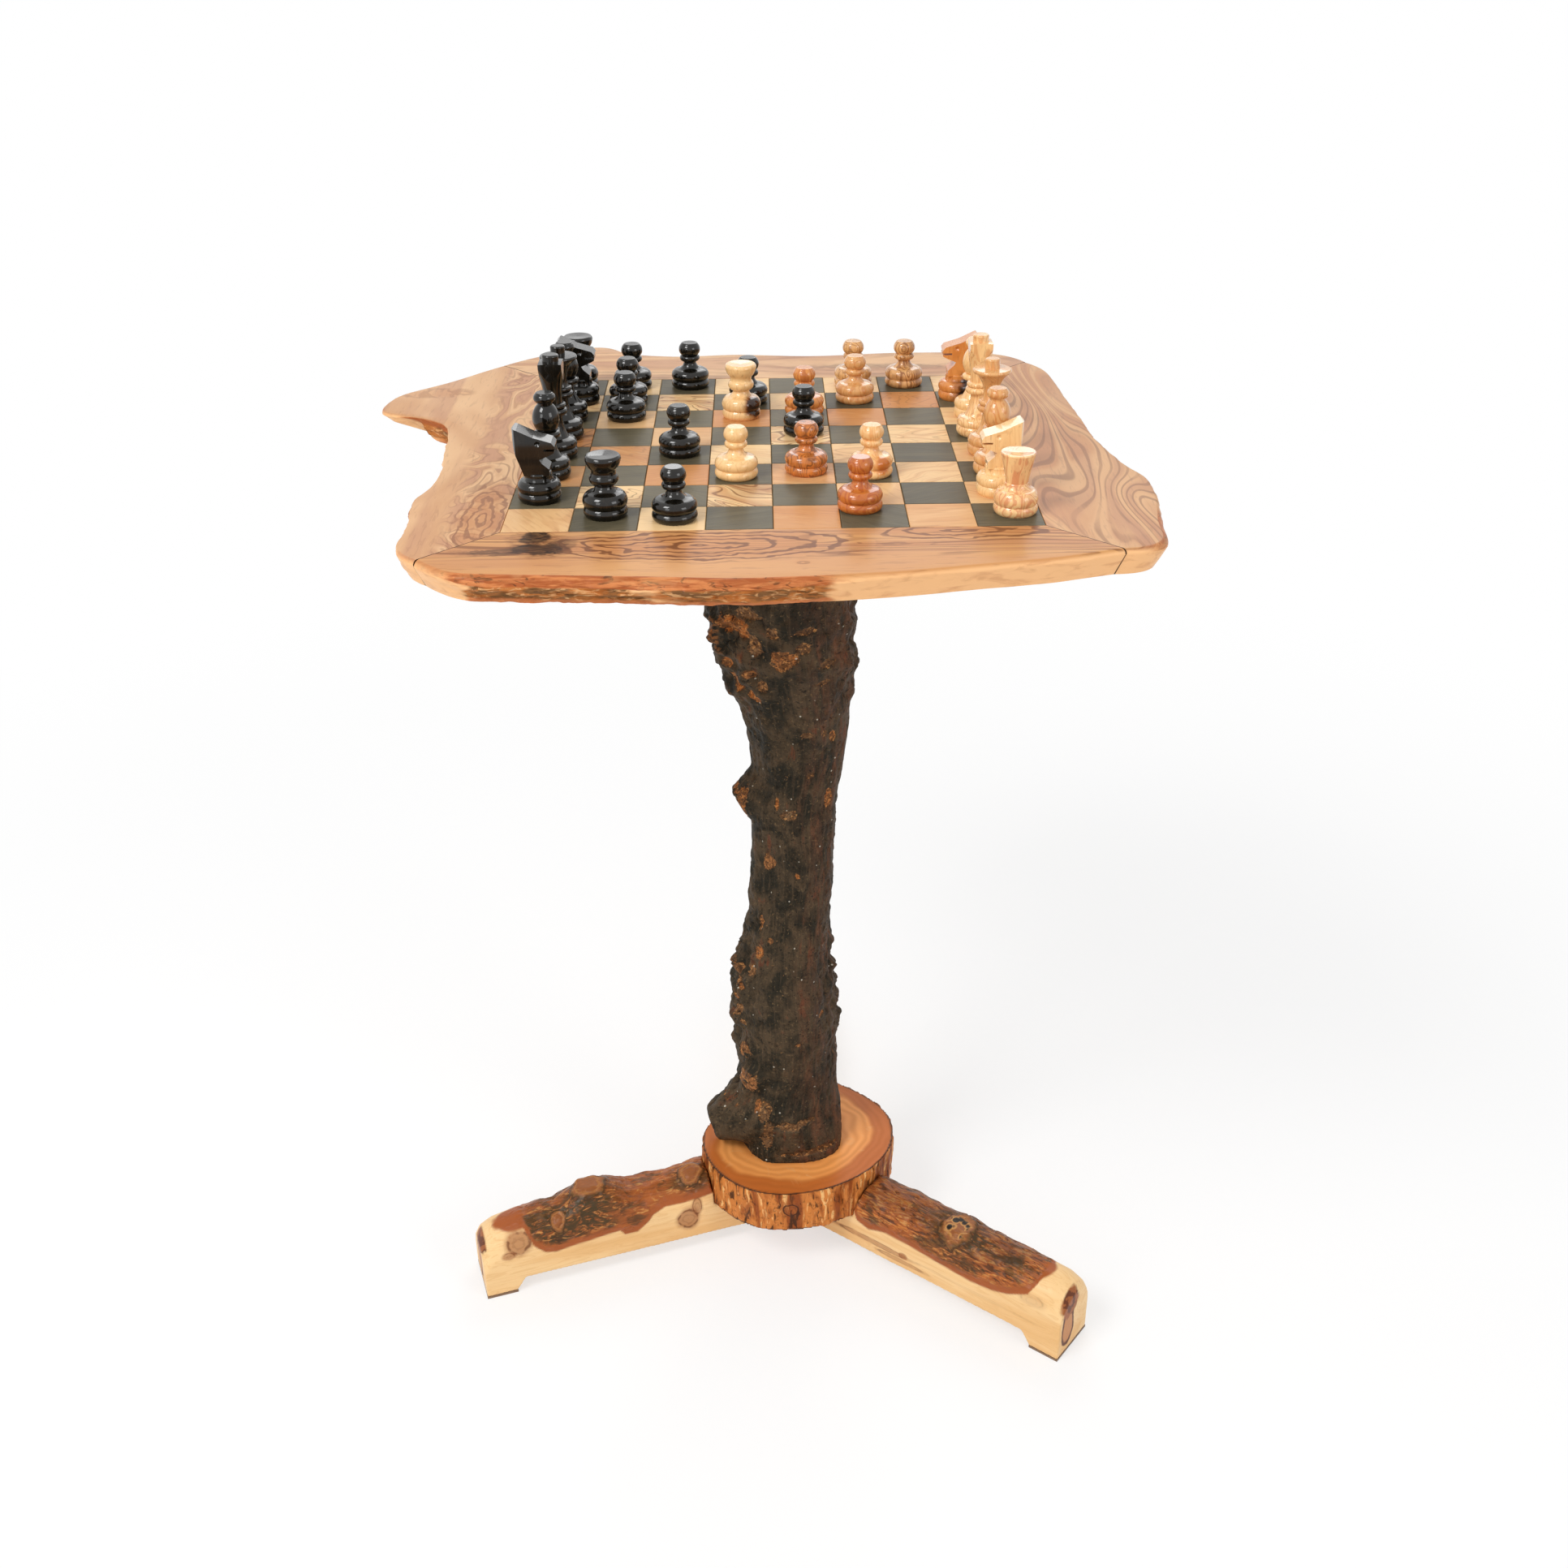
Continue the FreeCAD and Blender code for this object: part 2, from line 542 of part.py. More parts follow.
def under_cut(length):
    """What is sawn away below the leg, up to the slope that leaves the foot."""
    foot_start = length - FOOT_LENGTH
    below = -OVERRUN
    corners = [
        Vector(0, 0, below), Vector(foot_start, 0, below), Vector(foot_start, 0, PAD_THICKNESS),
        Vector(foot_start - FOOT_SLOPE, 0, LEG_UNDERSIDE), Vector(0, 0, LEG_UNDERSIDE), Vector(0, 0, below),
    ]
    side = Part.Face(Part.makePolygon(corners))
    side.translate(Vector(0, -LEG_WIDTH, 0))
    return side.extrude(Vector(0, 2 * LEG_WIDTH, 0))


def set_out(shape, direction):
    """Turn a shape made along the leg into the leg's place on the table."""
    shape.rotate(Vector(0, 0, 0), UP, direction)
    shape.translate(Vector(BASE_OFFSET, 0, 0))
    return shape


slice_cutter = slice_solid(LEG_SHOULDER_GAP, SLICE_UNDERSIDE, SLICE_TOP + LEG_HEIGHT)
pocket_depth = LEG_UNDERSIDE + LEG_SCREW_POCKET
screw_head_low = pocket_depth - LEG_SCREW_HEAD_HEIGHT
leg_screw_top = SLICE_UNDERSIDE + LEG_SCREW_BITE
leg_screws = []
pads = []
for name, (direction, length_share) in LEG_WAY_SHARES.items():
    length = LEG_LENGTH * length_share
    sections = []
    for place, crest in LEG_BACK_SHARES[name]:
        sections.append(leg_section(length * place, LEG_HEIGHT * crest))
    leg = Part.makeLoft(sections, True, True)
    hub = block(
        Vector(-LEG_WIDTH, -LEG_WIDTH, -OVERRUN),
        Vector(LEG_TONGUE_START, LEG_WIDTH, 2 * LEG_HEIGHT),
    )
    leg = set_out(leg.cut([hub, under_cut(length)]), direction).cut(slice_cutter)
    for index in range(LEG_SCREWS):
        place = LEG_TONGUE_START + LEG_SCREW_SETBACK + LEG_SCREW_SPACING * index
        spot = polar(place, direction) + Vector(BASE_OFFSET, 0, 0)
        pocket = rod(LEG_SCREW_HEAD_DIAMETER + recess_growth, 0, pocket_depth, spot.x, spot.y)
        hole_top = leg_screw_top + FASTENER_CLEARANCE
        hole = rod(LEG_SCREW_DIAMETER + hole_growth, 0, hole_top, spot.x, spot.y)
        leg = leg.cut([pocket, hole])
        base_slice = base_slice.cut(hole)
        head = rod(LEG_SCREW_HEAD_DIAMETER, screw_head_low, pocket_depth, spot.x, spot.y)
        shank = rod(LEG_SCREW_DIAMETER, screw_head_low, leg_screw_top, spot.x, spot.y)
        leg_screws.append(fuse_all(head, [shank]))
    nodes[name] = leg
    half = LEG_WIDTH / 2
    pad = block(Vector(length - FOOT_LENGTH, -half, 0), Vector(length, half, PAD_THICKNESS))
    pads.append(set_out(pad, direction))
nodes["base_slice"] = base_slice
nodes["leg_screws"] = Part.makeCompound(leg_screws)
nodes["foot_pads"] = Part.makeCompound(pads)

# Chess pieces

def turned(outline_shares, height):
    """A solid of revolution from an outline of straight runs and arcs."""
    def spot(radius_share, height_share):
        return Vector(PIECE_BASE_RADIUS * radius_share, 0, height * height_share)

    middle = Vector(0, 0, 0)
    here = spot(*FOOT_SHARES[0])
    edges = [Part.makeLine(middle, here)]
    for entry in outline_shares:
        there = spot(*entry[-2:])
        if len(entry) == 4:
            edges.append(Part.Arc(here, spot(*entry[:2]), there).toShape())
        else:
            edges.append(Part.makeLine(here, there))
        here = there
    edges.append(Part.makeLine(here, middle))
    return Part.Face(Part.Wire(edges)).revolve(middle, UP, FULL_TURN)


def king():
    """The king's flared crown is cut by four flats below its finial."""
    piece = turned(KING_SHARES, KING_HEIGHT)
    near = PIECE_BASE_RADIUS * KING_FLAT_SHARE
    far = 2 * PIECE_BASE_RADIUS
    foot = KING_HEIGHT * KING_FLAT_FOOT_SHARE
    top = KING_HEIGHT * KING_FLAT_TOP_SHARE
    flats = []
    for side in range(KING_FLATS):
        flat = block(Vector(near, -far, foot), Vector(far, far, top))
        flat.rotate(Vector(0, 0, 0), UP, side * FULL_TURN / KING_FLATS)
        flats.append(flat)
    return piece.cut(flats)


def knight():
    """A turned foot below a flat-sided carved head that faces right."""
    radius = PIECE_BASE_RADIUS
    height = KNIGHT_HEIGHT
    half = radius * KNIGHT_THICKNESS_SHARE / 2
    corners = []
    for along, up in KNIGHT_HEAD_SHARES + KNIGHT_HEAD_SHARES[:1]:
        corners.append(Vector(radius * along, -half, height * up))
    head = Part.Face(Part.makePolygon(corners)).extrude(Vector(0, 2 * half, 0))
    head = head.common(rod(2 * radius * KNIGHT_TURNED_SHARE, 0, height, 0, 0))
    mouth_low = height * (MOUTH_PLACE_SHARE - MOUTH_HEIGHT_SHARE)
    mouth_high = height * (MOUTH_PLACE_SHARE + MOUTH_HEIGHT_SHARE)
    mouth = block(
        Vector(radius * (1 - MOUTH_DEPTH_SHARE), -radius, mouth_low),
        Vector(2 * radius, radius, mouth_high),
    )
    cuts = [mouth]
    eye_along = radius * EYE_PLACE_SHARES[0]
    eye_up = height * EYE_PLACE_SHARES[1]
    eye_half = radius * EYE_SIZE_SHARE
    for side in (-1, 1):
        middle = Vector(eye_along, side * half, eye_up)
        bottom = Vector(eye_along, side * (half - radius * EYE_DEPTH_SHARE), eye_up)
        eye = Part.makeCone(eye_half, 0, (bottom - middle).Length, middle, bottom - middle)
        cuts.append(eye)
    return fuse_all(turned(KNIGHT_SHARES, height), [head.cut(cuts)])


PIECE_MAKERS = {
    "king": king,
    "queen": lambda: turned(QUEEN_SHARES, QUEEN_HEIGHT),
    "bishop": lambda: turned(BISHOP_SHARES, BISHOP_HEIGHT),
    "knight": knight,
    "rook": lambda: turned(ROOK_SHARES, ROOK_HEIGHT),
    "pawn": lambda: turned(PAWN_SHARES, PAWN_HEIGHT),
}
ODD_PIECE_MAKERS = {"white_rook_1": lambda: turned(CUP_ROOK_SHARES, ROOK_HEIGHT)}


def set_up(colour, place_shares, facing):
    """Stand one side's pieces on the board."""
    for kind, places in place_shares.items():
        for number, (column, row) in enumerate(places, 1):
            name = f"{colour}_{kind}" if len(places) == 1 else f"{colour}_{kind}_{number}"
            piece = ODD_PIECE_MAKERS.get(name, PIECE_MAKERS[kind])()
            piece.rotate(Vector(0, 0, 0), UP, facing)
            piece.translate(Vector(column * SQUARE - BOARD_HALF, row * SQUARE - BOARD_HALF, TABLE_HEIGHT))
            nodes[name] = piece


set_up("white", WHITE_PLACE_SHARES, HALF_TURN)
set_up("black", BLACK_PLACE_SHARES, 0)

# Everything is moved so that the origin lies on the floor below the middle of the whole table

whole = Part.makeCompound(list(nodes.values())).optimalBoundingBox(False, False)
to_origin = Vector(-whole.Center.x, -whole.Center.y, -whole.ZMin)
print("moved to the origin by", to_origin)
os.makedirs("parts", exist_ok=True)
for name, shape in nodes.items():
    shape.translate(to_origin)
    if not shape.isValid():
        print("not valid:", name)
    shape.exportStep(f"parts/{name}.step")
    print(name, len(shape.Solids), round(shape.Volume))
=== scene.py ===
import math
import random

import bmesh
import bpy
import numpy as np
from mathutils import Matrix, Vector, noise
from mathutils.bvhtree import BVHTree


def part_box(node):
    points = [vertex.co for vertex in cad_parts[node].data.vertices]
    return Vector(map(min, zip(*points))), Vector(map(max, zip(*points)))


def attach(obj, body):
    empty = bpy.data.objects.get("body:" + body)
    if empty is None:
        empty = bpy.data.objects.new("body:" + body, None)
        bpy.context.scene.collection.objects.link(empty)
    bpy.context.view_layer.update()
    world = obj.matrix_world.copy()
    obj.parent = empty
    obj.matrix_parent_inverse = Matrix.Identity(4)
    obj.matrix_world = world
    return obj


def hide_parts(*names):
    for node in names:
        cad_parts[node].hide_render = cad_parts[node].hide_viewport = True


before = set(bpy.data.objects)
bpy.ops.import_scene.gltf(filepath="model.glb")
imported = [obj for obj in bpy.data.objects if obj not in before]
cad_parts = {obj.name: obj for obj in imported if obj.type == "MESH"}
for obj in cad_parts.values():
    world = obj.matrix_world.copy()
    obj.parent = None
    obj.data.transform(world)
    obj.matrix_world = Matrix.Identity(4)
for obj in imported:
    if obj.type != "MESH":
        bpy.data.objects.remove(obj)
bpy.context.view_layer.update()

# Legs
# Three half logs of olive wood, sawn flat on their sides and ends, with the bark left on their backs.
# Each is lapped under the slice, held by two screws from below, and oiled.


class Wire:
    """One socket of a material's nodes, so that sums on sockets read as plain sums."""

    def __init__(self, tree, socket=None):
        self.tree = tree
        self.socket = socket

    def node(self, kind, settings=(), sockets=(), out=0):
        """Any node: its settings are set first, then the values or links of its sockets."""
        added = self.tree.nodes.new("ShaderNode" + kind)
        for name, value in dict(settings).items():
            setattr(added, name, value)
        for place, value in dict(sockets).items():
            if isinstance(value, Wire):
                self.tree.links.new(value.socket, added.inputs[place])
            else:
                added.inputs[place].default_value = value
        return Wire(self.tree, added.outputs[out])

    def maths(self, operation, *values):
        return self.node("Math", {"operation": operation}, enumerate(values))

    def __add__(self, other):
        return self.maths("ADD", self, other)

    def __sub__(self, other):
        return self.maths("SUBTRACT", self, other)

    def __rsub__(self, other):
        return self.maths("SUBTRACT", other, self)

    def __mul__(self, other):
        return self.maths("MULTIPLY", self, other)

    __radd__ = __add__
    __rmul__ = __mul__

    def sine(self):
        """Waves between nought and one."""
        return self.maths("SINE", self) * 0.5 + 0.5

    def step(self, low, high):
        """Nought at low, one at high, and a smooth run between."""
        sockets = {"Value": self, "From Min": low, "From Max": high}
        return self.node("MapRange", {"interpolation_type": "SMOOTHSTEP"}, sockets)

    def blend(self, first, second):
        """The colour that runs from first to second as this value goes from nought to one."""
        return self.node("Mix", {"data_type": "RGBA"}, {0: self, 6: first, 7: second}, 2)

    def place(self):
        """Where each point of the piece lies, in metres."""
        return self.node("TexCoord", {}, {}, "Object")

    def part(self, axis):
        """One of the three values of a place or a colour."""
        return self.node("SeparateXYZ", {}, {0: self}, axis)

    def shifted(self, way):
        """A place moved by a way."""
        return self.node("VectorMath", {"operation": "ADD"}, {0: self, 1: way})

    def stretched(self, *scale):
        """A place with each of its directions scaled."""
        return self.node("VectorMath", {"operation": "MULTIPLY"}, {0: self, 1: scale})

    def clouds(self, scale, detail=4.0, distortion=0.0, rough=0.55):
        """Soft uneven noise at this place."""
        sockets = {"Vector": self, "Scale": scale, "Detail": detail, "Distortion": distortion}
        return self.node("TexNoise", {}, {**sockets, "Roughness": rough})

    def cells(self, scale, feature="F1", out="Distance"):
        """Distance to scattered points, or a value for each cell."""
        return self.node("TexVoronoi", {"feature": feature}, {"Vector": self, "Scale": scale}, out)

    def ring(self, place, size, wobble=0.0, wobble_scale=60.0):
        """How many sizes this place lies from another, with an uneven outline."""
        apart = self.node("VectorMath", {"operation": "SUBTRACT"}, {0: self, 1: place})
        shares = apart.stretched(*[1 / length for length in size])
        reach = shares.node("VectorMath", {"operation": "LENGTH"}, {0: shares}, "Value")
        if wobble:
            reach = reach + (self.clouds(wobble_scale, 3.0) - 0.5) * wobble
        return reach


def tint(red, green, blue):
    """A colour as it shows on a screen, from 0 to 255."""
    linear = []
    for value in (red, green, blue):
        share = value / 255
        linear.append(share / 12.92 if share <= 0.04045 else ((share + 0.055) / 1.055) ** 2.4)
    return (*linear, 1.0)


def new_finish(name, fixed):
    """A material with its fixed shader values, and a wire to start its nodes from."""
    finish = bpy.data.materials.new(name)
    finish.use_nodes = True
    shader = finish.node_tree.nodes["Principled BSDF"]
    for socket, value in fixed.items():
        shader.inputs[socket].default_value = value
    return finish, Wire(finish.node_tree)


def lay_on(finish, colour, roughness, height, depth):
    """Feeds the shader: colour, roughness and the relief that bump shows, with its depth in metres."""
    tree = finish.node_tree
    shader = tree.nodes["Principled BSDF"]
    tree.links.new(colour.socket, shader.inputs["Base Color"])
    tree.links.new(roughness.socket, shader.inputs["Roughness"])
    bump = height.node("Bump", {}, {"Height": height, "Strength": 0.6, "Distance": depth}, "Normal")
    tree.links.new(bump.socket, shader.inputs["Normal"])


def coated(colour, coats):
    """A colour under further coats, each given as how much of it shows and its own colour."""
    for amount, tone in coats:
        colour = amount.blend(colour, tone)
    return colour


def mark(start, name, out="Fac"):
    """A value that the mesh carries at each of its points."""
    return start.node("Attribute", {"attribute_name": name}, {}, out)


def put_in_scene(name, data):
    """A new object in the scene."""
    thing = bpy.data.objects.new(name, data)
    bpy.context.scene.collection.objects.link(thing)
    return thing


def even_copy(node, name, voxel, rounds):
    """A fine even mesh over a CAD node, its edges a little softened, to carry relief."""
    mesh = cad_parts[node].data.copy()
    welded = bmesh.new()
    welded.from_mesh(mesh)
    bmesh.ops.remove_doubles(welded, verts=welded.verts, dist=voxel / 100)
    welded.to_mesh(mesh)
    welded.free()
    piece = put_in_scene(name, mesh)
    remesh = piece.modifiers.new("even", "REMESH")
    remesh.mode = "VOXEL"
    remesh.voxel_size = voxel
    soften = piece.modifiers.new("soften", "SMOOTH")
    soften.iterations = rounds
    seen = piece.evaluated_get(bpy.context.evaluated_depsgraph_get())
    piece.data = bpy.data.meshes.new_from_object(seen)
    piece.modifiers.clear()
    piece.data.materials.clear()
    return piece


def points_of(piece):
    """A piece's points and the way that each faces."""
    points = np.empty(len(piece.data.vertices) * 3, np.float32)
    facing = np.empty(len(piece.data.vertices) * 3, np.float32)
    piece.data.vertices.foreach_get("co", points)
    piece.data.vertex_normals.foreach_get("vector", facing)
    return points.reshape(-1, 3).astype(float), facing.reshape(-1, 3).astype(float)


def write_marks(mesh, marks):
    """Writes the values at a mesh's points that its finish reads."""
    for name, values in marks.items():
        several = values.ndim == 2
        layer = mesh.attributes.new(name, "FLOAT_VECTOR" if several else "FLOAT", "POINT")
        layer.data.foreach_set("vector" if several else "value", values.astype(np.float32).ravel())


def keep_points(piece, points, marks):
    """Moves a piece's points, shades it smooth and writes its marks."""
    mesh = piece.data
    mesh.vertices.foreach_set("co", points.astype(np.float32).ravel())
    write_marks(mesh, marks)
    mesh.polygons.foreach_set("use_smooth", np.ones(len(mesh.polygons), bool))
    mesh.update()


def uneven(points, scale, octaves=3, seed=0):
    """Noise at points, with the scale in bumps a metre for all or each direction."""
    start = Vector((17.3, 5.1, 9.7)) * seed
    return np.array([noise.fractal(Vector(p) + start, 1.0, 2.0, octaves) for p in points * np.array(scale)])


def smooth_step(values, low, high):
    share = np.clip((values - low) / (high - low), 0, 1)
    return share * share * (3 - 2 * share)


def relaxed(piece, points, rounds, weight):
    """Points drawn towards their neighbours, round after round, by a weight at each point."""
    pairs = np.empty(len(piece.data.edges) * 2, np.int32)
    piece.data.edges.foreach_get("vertices", pairs)
    pairs = pairs.reshape(-1, 2)
    ends = np.concatenate((pairs[:, 0], pairs[:, 1]))
    others = np.concatenate((pairs[:, 1], pairs[:, 0]))
    counts = np.bincount(ends, minlength=len(points))
    for _ in range(rounds):
        sums = [np.bincount(ends, points[others, axis], len(points)) for axis in range(3)]
        means = np.stack(sums, axis=1) / counts[:, None]
        points = points + (means - points) * (0.6 * weight)[:, None]
    return points


def set_piece(piece, body, nodes, finish):
    """Gives a piece its finish, hangs it on the body that it rides on and hides the CAD nodes that it stands
    for.
    """
    piece.data.materials.append(finish)
    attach(piece, body)
    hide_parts(*nodes)


board_low, board_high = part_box("light_squares")
board_middle = (board_low + board_high) / 2
board_half = (board_high.x - board_low.x) / 2
SLICE_ASIDE = 0.017
slice_middle = np.array((board_middle.x + SLICE_ASIDE, board_middle.y, 0.0))

LEG_VOXEL = 0.0013
LEG_HALF_WIDTH = 0.0235
LEG_FREE_FROM = 0.075
BORDER_WAVE = 0.0011
BACK_ROUNDNESS = 2.3
KNOTS_ABOVE = 0.04
NO_KNOT = 9.0
CREST_STEPS = 90
CREST_REACH = 0.004
LEAST_BARK = 0.004
END_DEPTH = 0.006
LEG_BUMP = 0.0016
# Depths of the relief on the legs, in metres
LEG_LUMP, LEG_GRIT, LEG_CRACK, KNOT_RING, SAWN_WAVE = 0.0012, 0.0009, 0.0009, 0.0011, 0.00025
LEG_TURNS = {"left_leg": 197.8, "right_leg": 322.0, "back_leg": 91.0}
# Along each leg as a share of its length, how high the sawn sides reach before the bark starts
BARK_STARTS = {
    "left_leg": [(0.30, 0.056), (0.35, 0.054), (0.39, 0.053), (0.448, 0.053), (0.488, 0.049),
                 (0.505, 0.043), (0.539, 0.035), (0.577, 0.0355), (0.592, 0.041), (0.652, 0.039),
                 (0.722, 0.0365), (0.786, 0.034), (0.817, 0.036), (0.851, 0.0455), (0.858, 0.052),
                 (0.872, 0.059), (0.892, 0.0585), (0.918, 0.058), (0.94, 0.059), (0.965, 0.058),
                 (1.0, 0.075)],
    "right_leg": [(0.26, 0.060), (0.287, 0.042), (0.331, 0.0385), (0.395, 0.044), (0.469, 0.0435),
                  (0.543, 0.042), (0.625, 0.0395), (0.696, 0.038), (0.766, 0.040), (0.824, 0.045),
                  (0.886, 0.0535), (0.899, 0.060), (0.908, 0.065), (0.928, 0.0675), (1.0, 0.090)],
    "back_leg": [(0.30, 0.048), (0.46, 0.046), (0.62, 0.042), (0.80, 0.044), (0.92, 0.055), (1.0, 0.075)],
}
# Cut-off branches on the backs: share of the length, metres to one side, radius and lift
BARK_KNOTS = {
    "left_leg": [(0.662, 0.0, 0.0125, 0.0030), (0.354, 0.006, 0.009, 0.004), (0.771, 0.0155, 0.006, 0.0008)],
    "right_leg": [(0.612, -0.006, 0.0125, 0.0045)],
    "back_leg": [(0.55, 0.004, 0.012, 0.003)],
}
# Knots that the saw cut through on the sides: share of the length, side, height, sizes along and up, strength
SIDE_KNOTS = {
    "left_leg": [(0.891, 1, 0.051, 0.0085, 0.0098, 1.0), (0.925, 1, 0.0405, 0.0045, 0.0032, 0.9),
                 (0.381, 1, 0.036, 0.0078, 0.0088, 1.0), (0.352, 1, 0.047, 0.0036, 0.008, 0.8),
                 (0.66, -1, 0.03, 0.01, 0.008, 0.8)],
    "right_leg": [(0.34, -1, 0.0268, 0.034, 0.0022, 0.75), (0.455, -1, 0.021, 0.020, 0.0018, 0.6),
                  (0.46, -1, 0.0278, 0.0032, 0.0024, 1.0), (0.90, -1, 0.050, 0.009, 0.004, 0.3),
                  (0.70, -1, 0.028, 0.050, 0.0012, 0.15)],
    "back_leg": [(0.50, 1, 0.032, 0.020, 0.004, 0.7), (0.74, -1, 0.030, 0.012, 0.009, 0.8)],
}
# How shaggy each bark is, how pitted its knots are, how far aside its end's heart lies, and its dark patch:
# share of the length, metres to one side, and sizes along and across
BARK_LOOKS = {
    "left_leg": (0.30, 0.0, 0.001, (0.750, 0.0165, 0.044, 0.014)),
    "right_leg": (0.85, 1.0, -0.0085, (0.71, -0.009, 0.044, 0.006)),
    "back_leg": (0.55, 0.0, 0.001, (0.60, 0.010, 0.030, 0.010)),
}
SAWN_PALE = tint(243, 205, 150)
SAWN_LINE = tint(222, 172, 112)
SAWN_WARM = tint(233, 186, 126)
HEART_DARK = tint(96, 48, 26)
HEART_BROWN = tint(158, 92, 50)
HEART_PALE = tint(196, 134, 84)
CAMBIUM = tint(164, 88, 46)
BARK_RED = tint(164, 90, 44)
BARK_BROWN = tint(132, 74, 38)
BARK_ORANGE = tint(200, 122, 58)
BARK_TAN = tint(206, 150, 84)
KNOT_BROWN = tint(150, 90, 50)
BARK_OLIVE = tint(68, 56, 34)
BARK_CRACK = tint(62, 38, 20)
PIT_DARK = tint(34, 24, 14)


def leg_finish(name, length, side_knots, shaggy, pitted, heart_aside, dark_patch):
    """Oiled sawn wood with knots and a dark heart on the end, running into bark on the back."""
    finish, start = new_finish(name + "_oiled_bark_and_wood", {"Specular IOR Level": 0.18})
    grain = mark(start, "grain", "Vector")
    bark = mark(start, "bark")
    above = mark(start, "above")
    end = mark(start, "end")
    knot = mark(start, "knot")
    long_grain = grain.stretched(0.10, 1, 1)
    tone = long_grain.clouds(60, 3, 0.6)
    lines = (long_grain.clouds(75, 3, 1.2) * 46.0).sine()
    pores = grain.stretched(0.25, 1, 1).cells(900).step(0.16, 0.04)
    sawn = coated(SAWN_PALE, [
        (tone.step(0.35, 0.7), SAWN_WARM),
        (lines.step(0.72, 1.0) * 0.34, SAWN_LINE),
        (pores * 0.22, HEART_BROWN),
    ])
    for share, side, height, along_size, up_size, strength in side_knots:
        place = (share * length, side * LEG_HALF_WIDTH, height)
        reach = grain.ring(place, (along_size, 0.012, up_size), 1.0, 75)
        rings = (reach * 9.0 + grain.clouds(160, 2) * 7.0).sine()
        outline = reach.step(1.22, 1.02) * reach.step(0.80, 0.98) * grain.clouds(110, 2).step(0.38, 0.56)
        sawn = coated(sawn, [
            (reach.step(1.7, 0.9) * strength * 0.70, HEART_BROWN),
            (outline * strength * 0.7, HEART_DARK),
            (reach.step(0.95, 0.6) * rings.step(0.55, 0.95) * strength * 0.20, HEART_DARK),
        ])
    heart = grain.ring((length, heart_aside + 0.001, 0.052), (0.05, 0.0125, 0.0140), 1.1, 90)
    lens = grain.ring((length, heart_aside - 0.001, 0.027), (0.05, 0.0095, 0.018), 0.5, 70)
    swirls = (heart * 9.0 + grain.clouds(120, 2) * 7.0).sine()
    end_wood = coated(sawn, [
        (lens.step(1.05, 0.9), HEART_PALE),
        (lens.step(1.12, 1.0) * lens.step(0.72, 0.90), HEART_DARK),
        (heart.step(1.15, 0.9), HEART_BROWN),
        (heart.step(1.2, 0.9) * swirls.step(0.40, 0.8) * 0.9, HEART_DARK),
    ])
    sawn = end.blend(sawn, end_wood)
    patches = grain.stretched(0.55, 1, 1).clouds(70, 5, 0.8)
    flakes = grain.stretched(0.35, 1, 1).clouds(240, 5, 1.5)
    fibre = grain.stretched(0.22, 1, 1).clouds(330, 4, 1.2)
    core = (above + (patches - 0.5) * 0.010).step(0.0050, 0.0105)
    share, aside, along_size, aside_size = dark_patch
    stain = grain.ring((share * length, aside, 0.06), (along_size, aside_size, 0.05), 1.6, 55)
    stain = stain.step(1.25, 0.75)
    torn_knot = knot + (flakes - 0.5) * 0.8
    pit = grain.cells(130)
    rings = torn_knot.step(1.25, 0.95) * torn_knot.step(0.55, 0.95) * (torn_knot * 12.0).sine()
    edge = above.step(0.0085, 0.0035)
    skin = coated(BARK_RED, [
        (patches.step(0.38, 0.62) * 0.6, BARK_BROWN),
        (core * fibre.step(0.50, 0.62) * shaggy, BARK_ORANGE),
        (core * flakes.step(0.52, 0.62) * fibre.step(0.45, 0.55) * 0.7, BARK_TAN),
        (core * fibre.step(0.45, 0.37) * shaggy * 0.9, BARK_CRACK),
        (core * stain * flakes.step(0.60, 0.44) * 0.9, BARK_OLIVE),
        (core * patches.step(0.51, 0.59) * flakes.step(0.36, 0.54) * 0.65, BARK_OLIVE),
        (core * above.step(0.014, 0.026) * shaggy * 0.5, BARK_CRACK),
        (torn_knot.step(2.6, 1.2) * flakes.step(0.62, 0.42) * 0.7, BARK_OLIVE),
        (torn_knot.step(1.05, 0.85) * 0.85, KNOT_BROWN),
        (rings * 0.8, BARK_TAN),
        (torn_knot.step(1.30, 1.15) * torn_knot.step(0.95, 1.10) * 0.85, BARK_CRACK),
        (torn_knot.step(0.85, 0.65) * pit.step(0.58, 0.46) * pitted * 0.7, BARK_TAN),
        (torn_knot.step(0.85, 0.65) * pit.step(0.44, 0.32) * pitted, PIT_DARK),
        (edge * (tone * 0.5 + 0.45), CAMBIUM),
    ])
    colour = bark.blend(sawn, skin)
    rough = bark * (flakes * 0.30 + 0.18) + (1.0 - bark) * (tone * 0.2 + 0.32)
    bark_relief = flakes * 0.35 + fibre * core * shaggy * 0.8 + patches * 0.4
    relief = bark * bark_relief + (1.0 - bark) * (lines * 0.06 + tone * 0.1)
    lay_on(finish, colour, rough, relief, LEG_BUMP)
    return finish


